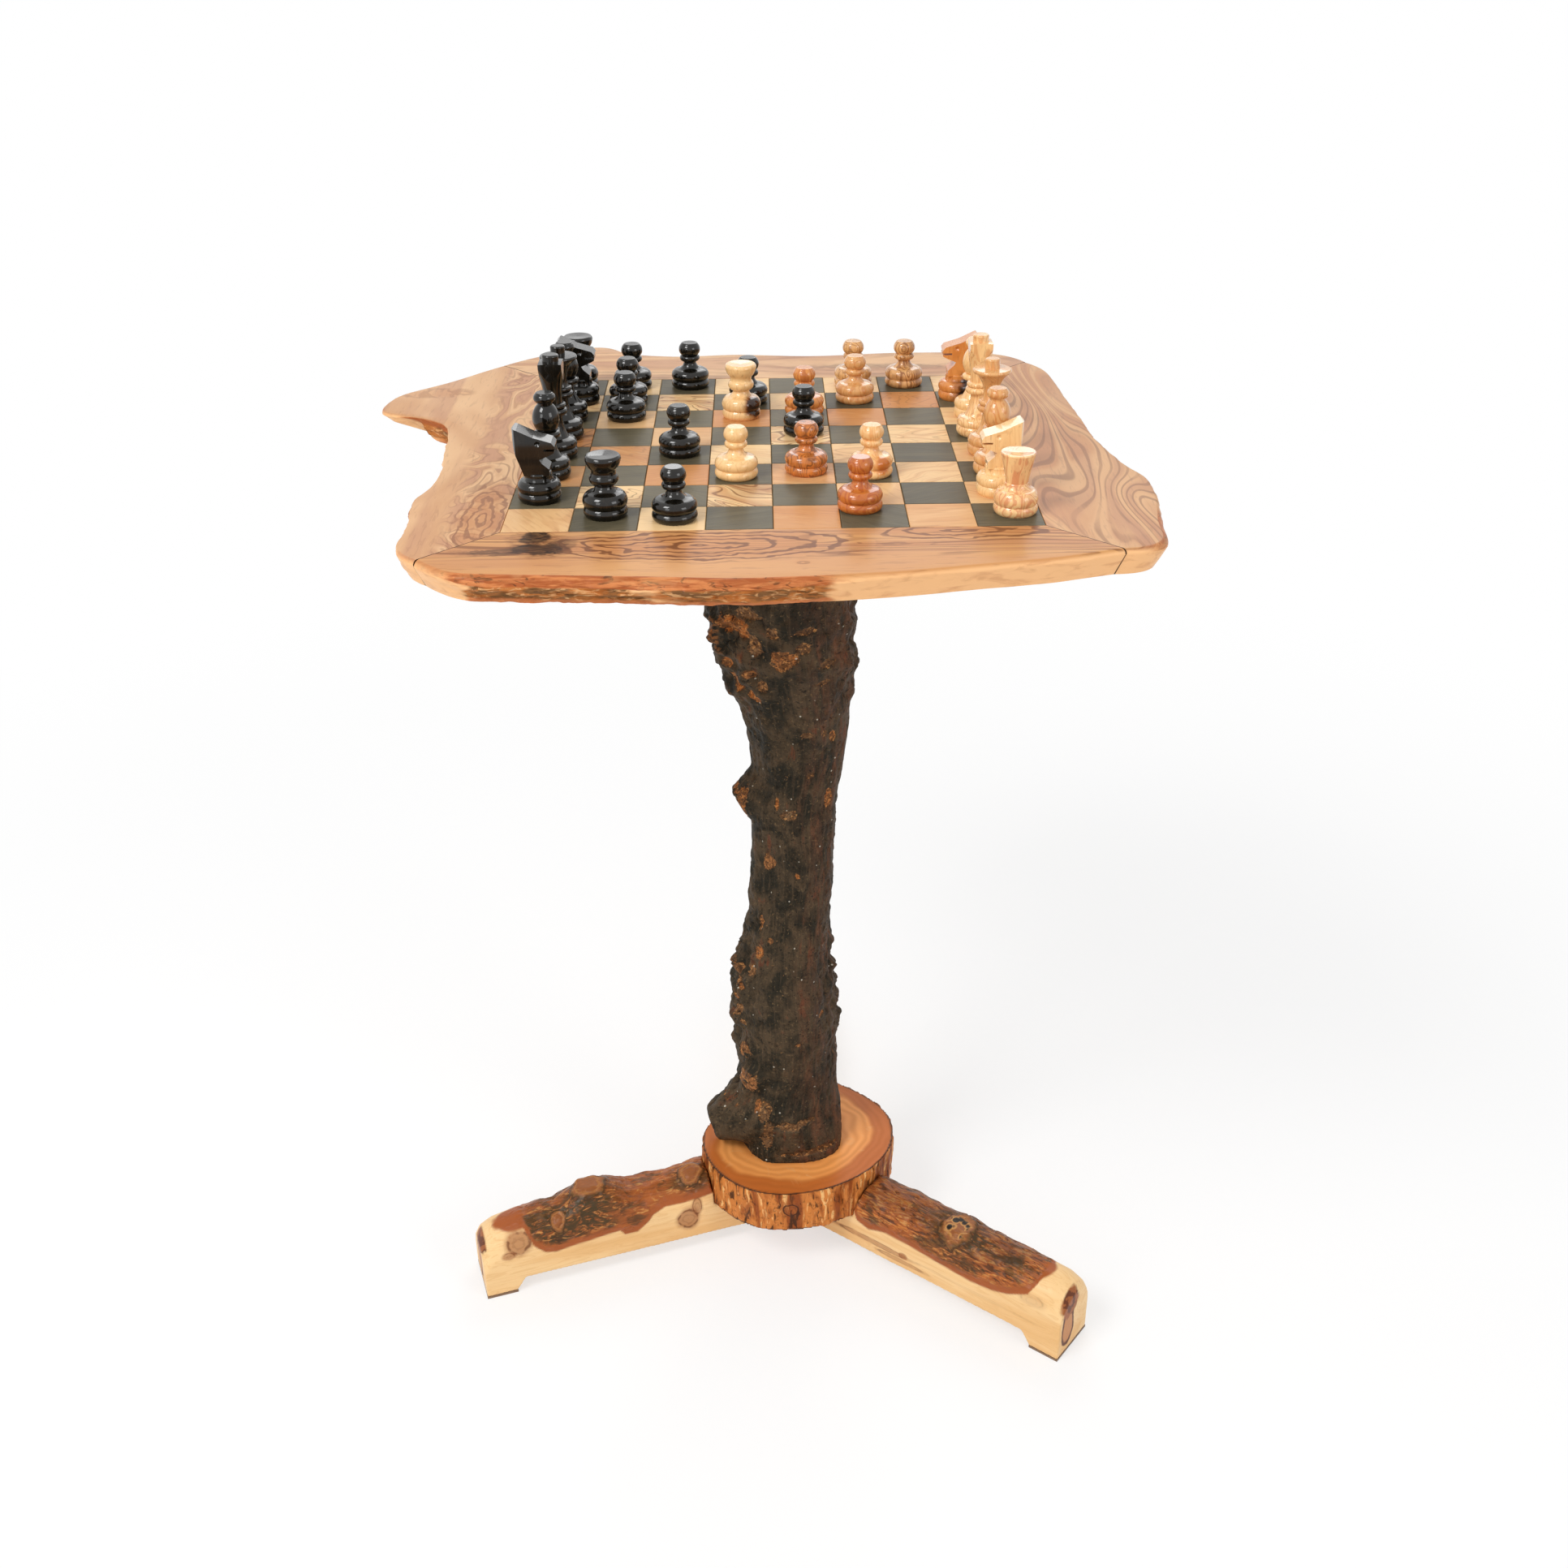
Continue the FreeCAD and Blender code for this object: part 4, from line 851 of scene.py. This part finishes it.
def live_edge_rail(node, quarter):
    """One rail, walked from mitre to mitre, with its edge found on the CAD board."""
    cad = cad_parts[node].data
    tree = BVHTree.FromPolygons([v.co for v in cad.vertices], [tuple(p.vertices) for p in cad.polygons])
    level = (rail_top + rail_foot) / 2
    spin = Matrix.Rotation(quarter * math.pi / 2, 3, "Z")
    half = board_half + JOINT / 2
    centre = Vector((board_middle.x, board_middle.y, 0.0))
    corners, values, faces = [], [], []
    shares, amounts = zip(*BARK_LEFT[node])
    planed_shares, planed_amounts = zip(*PLANED[node])
    for station in range(RAIL_STATIONS + 1):
        share = station / RAIL_STATIONS
        tilt = 2 * share - 1
        lean = math.radians(45) * tilt * abs(tilt)
        way = Vector((math.sin(lean), -math.cos(lean), 0.0))
        inner = Vector((half * tilt, -half, 0.0))
        inner.x += MITRE_GAP * (-tilt if abs(tilt) == 1 else 0)
        origin = centre + spin @ (inner + way * RAY_START) + Vector((0, 0, level))
        hit = tree.ray_cast(origin, spin @ -way)[0]
        width = (hit - centre - spin @ inner).xy.length
        bark = float(np.interp(share, shares, amounts))
        slant = float(np.interp(share, planed_shares, planed_amounts))
        foot = rail_foot
        if node == "left_rail":
            foot += float(np.interp(share, *zip(*HORN_RISES)))
        ease = EASES[node] + PLANED_WIDTH * slant
        profile = [(TOP_BREAK, rail_top, 0, 0)]
        profile += [(width * step / TOP_STEPS * FLAT_SHARE, rail_top, 0, 0) for step in range(1, TOP_STEPS)]
        for turn in range(EDGE_TURNS):
            bend = math.radians(90) * turn / EDGE_TURNS
            place = (width - ease + ease * math.sin(bend), rail_top - ease + ease * math.cos(bend))
            profile.append((*place, turn / EDGE_TURNS * (turn > 0), slant * (turn > 0)))
        fall = rail_top - ease - foot
        for row in range(EDGE_ROWS):
            drop = row / (EDGE_ROWS - 1)
            profile.append((width - UNDERCUT * drop, rail_top - ease - fall * drop, 1, 0))
        profile += [(width * 0.6, rail_foot, 0, 0), (0.0, rail_foot, 0, 0), (0.0, rail_top - TOP_BREAK, 0, 0)]
        for out, z, side, slanted in profile:
            spot = inner + way * out
            grain = Vector((spot.x + quarter * GRAIN_STEP, -half - spot.y, z - rail_top))
            strand = Vector((spot.x + quarter, out * 0.5, z))
            rough = noise.fractal(Vector((strand.x * 70, strand.y * 90, strand.z * 320)), 1.0, 2.0, 4)
            lump = noise.fractal(Vector((strand.x * 28, quarter * 3.1, strand.z * 60)), 1.0, 2.0, 2)
            ends = min(1.0, (1 - abs(tilt)) * 40)
            push = side * ends * ((rough * EDGE_ROUGH - EDGE_SINK) * bark + lump * EDGE_LUMP)
            spot = spot + way * push
            corners.append(centre + spin @ spot + Vector((0, 0, z)))
            patch = noise.fractal(Vector((strand.x * 22, quarter * 7.3, strand.z * 90)), 1.0, 2.0, 3)
            left = side * min(1.0, max(0.0, bark * 1.5 + patch * 0.8 - 0.45))
            values.append((*grain, left, side, slanted, abs(tilt) == 1))
    rows = len(profile)
    for station in range(RAIL_STATIONS):
        for row in range(rows):
            here = station * rows + row
            beside = station * rows + (row + 1) % rows
            faces.append((here, beside, beside + rows, here + rows))
    faces.append(tuple(range(rows - 1, -1, -1)))
    faces.append(tuple(RAIL_STATIONS * rows + row for row in range(rows)))
    board = from_faces(node + "_board", corners, faces)
    grain, others = np.split(np.array(values, float), [3], axis=1)
    marks = dict(zip(("bark", "side", "planed", "mitre"), others.T))
    keep_points(board, np.array([tuple(c) for c in corners]), {"grain": grain, **marks})
    board.data.set_sharp_from_angle(angle=math.radians(35))
    return board


WARM_TONES = (tint(212, 156, 100), tint(206, 148, 96), tint(190, 131, 88), tint(118, 70, 40))
CREAM_TONES = (tint(226, 182, 136), tint(206, 156, 112), tint(190, 138, 106), tint(142, 92, 62))
HONEY_TONES = (tint(214, 166, 118), tint(196, 140, 94), tint(182, 128, 94), tint(134, 86, 54))
BURL_BROWN = tint(196, 132, 80)
FIGURE_BROWN = tint(112, 66, 38)
STAIN = tint(44, 30, 20)
EDGE_ORANGE = tint(164, 86, 46)
EDGE_PALE = tint(240, 186, 132)
EDGE_BARK = tint(184, 112, 56)
EDGE_GREY = tint(122, 84, 50)
EDGE_CREAM = tint(216, 164, 112)
EDGE_DARK = tint(70, 46, 30)
EDGE_LINE = tint(200, 120, 74)
SLANT_PALE = tint(208, 130, 78)
FIGURE_SHIFT = (0.0, 0.0, 0.0173)
FIGURE_DEPTH = 0.02
BAND_SHARE = 0.30


def rail_finish(name, grain_start, tones, flow, figure_weight, pink, plain_from, burls, stains):
    """Lacquered olive wood: flowing figure as far out as plain_from, burls and stains, and a bark edge."""
    finish, start = new_finish(name, SATIN)
    pale, honey, mauve, line = tones
    stretch, scale, lines_a_metre, wander, turbulence = flow
    grain = mark(start, "grain", "Vector")
    bark = mark(start, "bark")
    side = mark(start, "side")
    outward = grain.part(1)
    figure = grain.shifted(FIGURE_SHIFT)
    drift = figure.stretched(stretch, 1, 1).clouds(scale, 1.0 + turbulence, turbulence, 0.45)
    flowing = outward * lines_a_metre + drift * wander
    bands = (flowing * BAND_SHARE).sine()
    hair = figure.stretched(0.12, 1, 1).clouds(420, 2, 0.5)
    broad = figure.stretched(0.5, 1, 1).clouds(14, 2, 0.8)
    heavy = figure.stretched(0.4, 1, 1).clouds(26, 2, 0.3).step(0.36, 0.58)
    inner = (outward + (broad - 0.5) * 0.02).step(plain_from + 0.008, plain_from - 0.006)
    soft = figure.stretched(0.06, 1, 1).clouds(46, 2, 0.3)
    lines = flowing.sine().step(0.66, 0.95) * (heavy * 0.8 + 0.2)
    wood = coated(pale, [
        (broad.step(0.36, 0.64), honey),
        (soft.step(0.46, 0.66) * 0.6, mauve),
        (inner * bands.step(0.40, 0.90) * pink, mauve),
        (inner * bands.step(0.35, 0.05) * 0.8, pale),
        (inner * lines * figure_weight, line),
    ])
    for along, out, length, width, loops, strength in burls:
        reach = grain.ring((grain_start + along, out, 0), (length, width, FIGURE_DEPTH), 0.7, 26)
        rings = (reach * loops + grain.stretched(0.5, 1, 1).clouds(52, 2, 1) * 12.0).sine()
        wood = (reach.step(1.15, 0.5) * strength * 0.75).blend(wood, BURL_BROWN)
        wood = (reach.step(1.20, 0.9) * rings.step(0.60, 0.92) * strength).blend(wood, line)
    for along, out, length, width, strength in stains:
        reach = grain.ring((grain_start + along, out, 0), (length, width, FIGURE_DEPTH), 1.6, 60)
        veins = (grain.stretched(0.35, 1, 1).clouds(60, 3, 1.8) * 56.0).sine()
        wood = (reach.step(1.5, 0.8) * (veins * 0.7 + 0.2) * strength).blend(wood, FIGURE_BROWN)
        wood = (reach.step(1.0, 0.75) * (veins * 0.30 + 0.70) * strength).blend(wood, STAIN)
    wood = (hair.step(0.56, 0.72) * 0.15).blend(wood, pale)
    wood = (hair.step(0.44, 0.32) * 0.20).blend(wood, line)
    strand = grain.stretched(0.45, 0.45, 1.5)
    streak = strand.clouds(120, 5, 0.8)
    fleck = strand.clouds(240, 5, 1)
    thread = grain.stretched(0.09, 0.7, 1).clouds(420, 4, 0.6)
    deep = grain.part(2) * -1.0
    live = (streak.step(0.48, 0.70) * 0.30).blend(EDGE_PALE, EDGE_ORANGE)
    skin = coated(EDGE_BARK, [
        (streak.step(0.40, 0.60), EDGE_GREY),
        (fleck.step(0.54, 0.66) * 0.85, EDGE_CREAM),
        (fleck.step(0.40, 0.30) * 0.8, EDGE_DARK),
        (deep.step(0.0062, 0.0045) * 0.75, EDGE_ORANGE),
        (deep.step(0.0145, 0.0160) * 0.75, EDGE_LINE),
    ])
    live = bark.step(0.25, 0.6).blend(live, skin)
    slant = thread.step(0.40, 0.62).blend(EDGE_ORANGE, SLANT_PALE)
    slant = (fleck.step(0.44, 0.34) * 0.75).blend(slant, EDGE_DARK)
    planed = mark(start, "planed").step(0.15, 0.55)
    colour = coated(wood, [
        (side.step(0.3, 0.8), live),
        (planed * (streak.step(0.3, 0.5) * 0.4 + 0.55), slant),
        (mark(start, "mitre").step(0.45, 0.95), EDGE_DARK),
    ])
    rough = hair * 0.10 + 0.28 + bark * 0.35
    relief = hair * 0.06 + bark * (fleck * 0.9 + streak * 0.7) + side * thread * 0.12
    lay_on(finish, colour, rough, relief, RAIL_BUMP)
    return finish


# For each rail: its tones; its figure's stretch, scale, lines a metre, wander and turbulence; the weights of
# its lines and of its pink; how far out the figure reaches; its burls and its stains. Both have a place along
# and out and sizes along and out. After these, burls have loops and strength, and stains have strength
RAIL_LOOKS = {
    "front_rail": (
        WARM_TONES, (0.14, 20.0, 1000.0, 80.0, 0.8), 0.70, 0.5, 0.046,
        [(-0.045, 0.026, 0.095, 0.025, 30.0, 0.90), (0.115, 0.006, 0.056, 0.015, 16.0, 0.85),
         (0.074, 0.028, 0.022, 0.006, 6.0, 0.45), (0.0166, 0.056, 0.007, 0.0045, 5.0, 0.45)],
        [(-0.1455, 0.010, 0.012, 0.012, 1.0), (-0.141, 0.030, 0.016, 0.011, 1.0),
         (-0.164, 0.033, 0.022, 0.006, 0.6), (-0.128, 0.022, 0.012, 0.010, 0.35)],
    ),
    "right_rail": (HONEY_TONES, (0.24, 15.0, 1000.0, 215.0, 0.30), 0.60, 0.45, 0.09, [], []),
    "back_rail": (
        CREAM_TONES, (0.16, 16.0, 600.0, 80.0, 0.4), 0.35, 0.45, 0.09,
        [], [(-0.08, 0.03, 0.06, 0.008, 0.3)],
    ),
    "left_rail": (
        CREAM_TONES, (0.60, 24.0, 260.0, 120.0, 0.7), 0.55, 0.75, 0.037,
        [(-0.137, 0.088, 0.013, 0.026, 2.5, 0.35), (0.140, 0.014, 0.070, 0.016, 19.0, 0.75)], [],
    ),
}
for quarter, (node, look) in enumerate(RAIL_LOOKS.items()):
    finish = rail_finish(node + "_lacquered", quarter * GRAIN_STEP, *look)
    set_piece(live_edge_rail(node, quarter), "table", [node], finish)

# White pieces
# Turned and carved olive wood, each from its own scrap, so that no two match. Oiled and polished bright,
# they stand loose on the board.
OLIVE_PALE = tint(250, 207, 146)
OLIVE_TAN = tint(230, 176, 114)
OLIVE_ORANGE = tint(200, 116, 50)
OLIVE_HONEY = tint(222, 146, 76)
OLIVE_AMBER = tint(214, 128, 60)
OLIVE_ROSE = tint(214, 128, 84)
OLIVE_RED = tint(170, 80, 36)
OLIVE_BROWN = tint(132, 76, 38)
OLIVE_DARK = tint(50, 28, 16)
# Ground, stripe and how strongly the stripe shows, for each white piece
SCRAPS = {
    "white_king": (OLIVE_PALE, OLIVE_ORANGE, 0.45),
    "white_queen": (OLIVE_TAN, OLIVE_ORANGE, 0.35),
    "white_bishop_1": (OLIVE_TAN, OLIVE_ORANGE, 0.55),
    "white_bishop_2": (OLIVE_PALE, OLIVE_TAN, 0.5),
    "white_knight_1": (OLIVE_PALE, OLIVE_TAN, 0.45),
    "white_knight_2": (OLIVE_HONEY, OLIVE_ORANGE, 0.5),
    "white_rook_1": (OLIVE_PALE, OLIVE_ROSE, 0.65),
    "white_rook_2": (OLIVE_PALE, OLIVE_TAN, 0.4),
    "white_pawn_1": (OLIVE_ORANGE, OLIVE_RED, 0.75),
    "white_pawn_2": (OLIVE_PALE, OLIVE_TAN, 0.4),
    "white_pawn_3": (OLIVE_AMBER, OLIVE_BROWN, 0.9),
    "white_pawn_4": (OLIVE_PALE, OLIVE_HONEY, 0.5),
    "white_pawn_5": (OLIVE_HONEY, OLIVE_RED, 0.6),
    "white_pawn_6": (OLIVE_TAN, OLIVE_ORANGE, 0.5),
    "white_pawn_7": (OLIVE_TAN, OLIVE_BROWN, 0.6),
    "white_pawn_8": (OLIVE_TAN, OLIVE_BROWN, 0.75),
}
CARVED_EDGE = 0.0011
# Knots: place from the middle of the piece's foot, radius in metres, and tones outside and inside
KNOTS = {
    "white_rook_2": ((0.010, -0.009, 0.010), 0.008, OLIVE_BROWN, OLIVE_DARK),
    "white_knight_2": ((0.009, -0.010, 0.007), 0.012, OLIVE_BROWN, OLIVE_DARK),
    "white_pawn_4": ((0.008, -0.012, 0.010), 0.006, OLIVE_HONEY, OLIVE_ORANGE),
}


def show_chessman(node, finish):
    """Carries a chess piece over, with the edges of a carved one softened."""
    piece = show_node(node, finish)
    if "knight" in node:
        soft_edges = piece.modifiers.new("soft_edges", "BEVEL")
        soft_edges.width = CARVED_EDGE
        soft_edges.segments = 3
        soft_edges.angle_limit = math.radians(28)


for number, (node, (ground, stripe, strength)) in enumerate(SCRAPS.items()):
    polish = {"Coat Weight": 0.85, "Coat Roughness": 0.08, "Specular IOR Level": 0.10}
    finish, start = new_finish(node + "_polished_olive", polish)
    place = start.place()
    grain = place.shifted((number * 0.37, number * 0.21, 0.0))
    tall = grain.stretched(1, 1, 0.22)
    figure = tall.clouds(90, 4, 1.6)
    lines = (tall.clouds(75, 1, 1.2) * 52.0).sine()
    hair = tall.clouds(700, 2, 0.3)
    wood = coated(ground, [
        (figure.step(0.42, 0.64) * strength * 0.55, stripe),
        (lines.step(0.62, 0.92) * strength * 0.9, stripe),
        (hair.step(0.42, 0.30) * 0.25, OLIVE_BROWN),
    ])
    if node in KNOTS:
        offset, radius, outside, inside = KNOTS[node]
        low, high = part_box(node)
        foot = Vector(((low.x + high.x) / 2, (low.y + high.y) / 2, low.z)) + Vector(offset)
        reach = place.ring(tuple(foot), (radius, radius, radius), 0.9, 160)
        wood = reach.step(1.5, 0.8).blend(wood, outside)
        wood = reach.step(1.05, 0.7).blend(wood, inside)
    lay_on(finish, wood, hair * 0.10 + 0.20, hair, 0.0001)
    show_chessman(node, finish)

# Black pieces
# The same turned and carved pieces in dark stained wood under black lacquer, with the grain just showing.
lacquer = {"Coat Weight": 0.85, "Coat Roughness": 0.07, "Specular IOR Level": 0.06}
finish, start = new_finish("black_lacquer_on_wood", lacquer)
place = start.place()
tall = place.stretched(1, 1, 0.2)
hair = tall.clouds(600, 3, 0.5)
figure = tall.clouds(80, 3, 1)
wood = figure.step(0.35, 0.65).blend(tint(10, 9, 6), tint(22, 18, 12))
wood = (hair.step(0.56, 0.70) * 0.4).blend(wood, tint(46, 38, 26))
lay_on(finish, wood, hair * 0.12 + 0.22, hair, 0.0001)
for node in sorted(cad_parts):
    if node.startswith("black_"):
        show_chessman(node, finish)

# Studio
# A pale floor that runs out of sight, a white surround, soft light from above and the camera.
FLOOR_HALF = 14.0
WHITE = (1.0, 1.0, 1.0, 1.0)


def plain_sight(start):
    """One for rays from the camera and for those seen in or through something shiny, nought for others."""
    camera, glossy, through = [
        start.node("LightPath", {}, {}, f"Is {kind} Ray") for kind in ("Camera", "Glossy", "Transmission")
    ]
    return camera.maths("MAXIMUM", camera.maths("MAXIMUM", camera, glossy), through)


corners = [(x * FLOOR_HALF, y * FLOOR_HALF, 0.0) for x, y in ((-1, -1), (1, -1), (1, 1), (-1, 1))]
floor = from_faces("studio_floor", corners, [(0, 1, 2, 3)])
finish = bpy.data.materials.new("white_floor")
finish.use_nodes = True
tree = finish.node_tree
tree.nodes.clear()
start = Wire(tree)
place = start.place()
paper = place.clouds(3, 2)
far_off = place.ring((0, 0, 0), (1, 1, 1)).step(0.5, 1.6)
paint = start.node("BsdfDiffuse", {}, {"Color": paper.blend(tint(250, 250, 250), tint(253, 253, 253))})
glow = start.node("Emission", {}, {"Color": WHITE, "Strength": 1.0})
mixed = start.node("MixShader", {}, {0: plain_sight(start) * (far_off * 0.40 + 0.60), 1: paint, 2: glow})
output = tree.nodes.new("ShaderNodeOutputMaterial")
tree.links.new(mixed.socket, output.inputs["Surface"])
floor.data.materials.append(finish)

world = bpy.data.worlds.new("white_surround")
bpy.context.scene.world = world
world.use_nodes = True
tree = world.node_tree
ground = tree.nodes["Background"]
ground.inputs["Color"].default_value = WHITE
strength = plain_sight(Wire(tree)) * 0.45 + 0.55
tree.links.new(strength.socket, ground.inputs["Strength"])


def soft_box(name, place, aim, width, power):
    """A square soft light turned to a place."""
    lamp = bpy.data.lights.new(name, "AREA")
    lamp.size = width
    lamp.energy = power
    box = put_in_scene(name, lamp)
    box.location = place
    box.rotation_mode = "QUATERNION"
    box.rotation_quaternion = (Vector(aim) - Vector(place)).to_track_quat("-Z", "Y")


# Each lamp's name, place, aim, width in metres and watts
for lamp_setting in (
    ("key_light", (-1.3, -1.2, 2.4), (0.0, 0.0, 0.55), 0.9, 32.0),
    ("fill_light", (1.8, -1.6, 1.5), (0.0, 0.0, 0.4), 1.0, 12.0),
    ("front_light", (-1.3, -2.0, 1.35), (0.0, 0.0, 0.4), 0.8, 7.5),
    ("back_light", (0.4, 2.0, 2.2), (0.0, 0.0, 0.6), 1.6, 16.0),
):
    soft_box(*lamp_setting)

# The photograph's camera, found from the board's grid
CAMERA_FROM_BOARD = Vector((-0.006237, -1.173199, 1.074035))
CAMERA_DOWN = 0.502913188
CAMERA_ROLL = -0.00901098875
CAMERA_TURN = 0.0112208143
SENSOR_WIDTH_MM = 36.0
LENS_MM = 39.646
ahead = Vector((
    math.sin(CAMERA_TURN) * math.cos(CAMERA_DOWN),
    math.cos(CAMERA_TURN) * math.cos(CAMERA_DOWN),
    -math.sin(CAMERA_DOWN),
))
right_way = Vector((math.cos(CAMERA_TURN), -math.sin(CAMERA_TURN), 0.0))
up_way = right_way.cross(ahead)
level_right = right_way * math.cos(CAMERA_ROLL) + up_way * math.sin(CAMERA_ROLL)
level_up = up_way * math.cos(CAMERA_ROLL) - right_way * math.sin(CAMERA_ROLL)
lens = bpy.data.cameras.new("photo_camera")
lens.sensor_width = SENSOR_WIDTH_MM
lens.lens = LENS_MM
camera = put_in_scene("photo_camera", lens)
turned = Matrix((level_right, level_up, -ahead)).transposed().to_4x4()
turned.translation = Vector((board_middle.x, board_middle.y, 0.0)) + CAMERA_FROM_BOARD
camera.matrix_world = turned
bpy.context.scene.camera = camera
bpy.context.scene.view_settings.view_transform = "Standard"
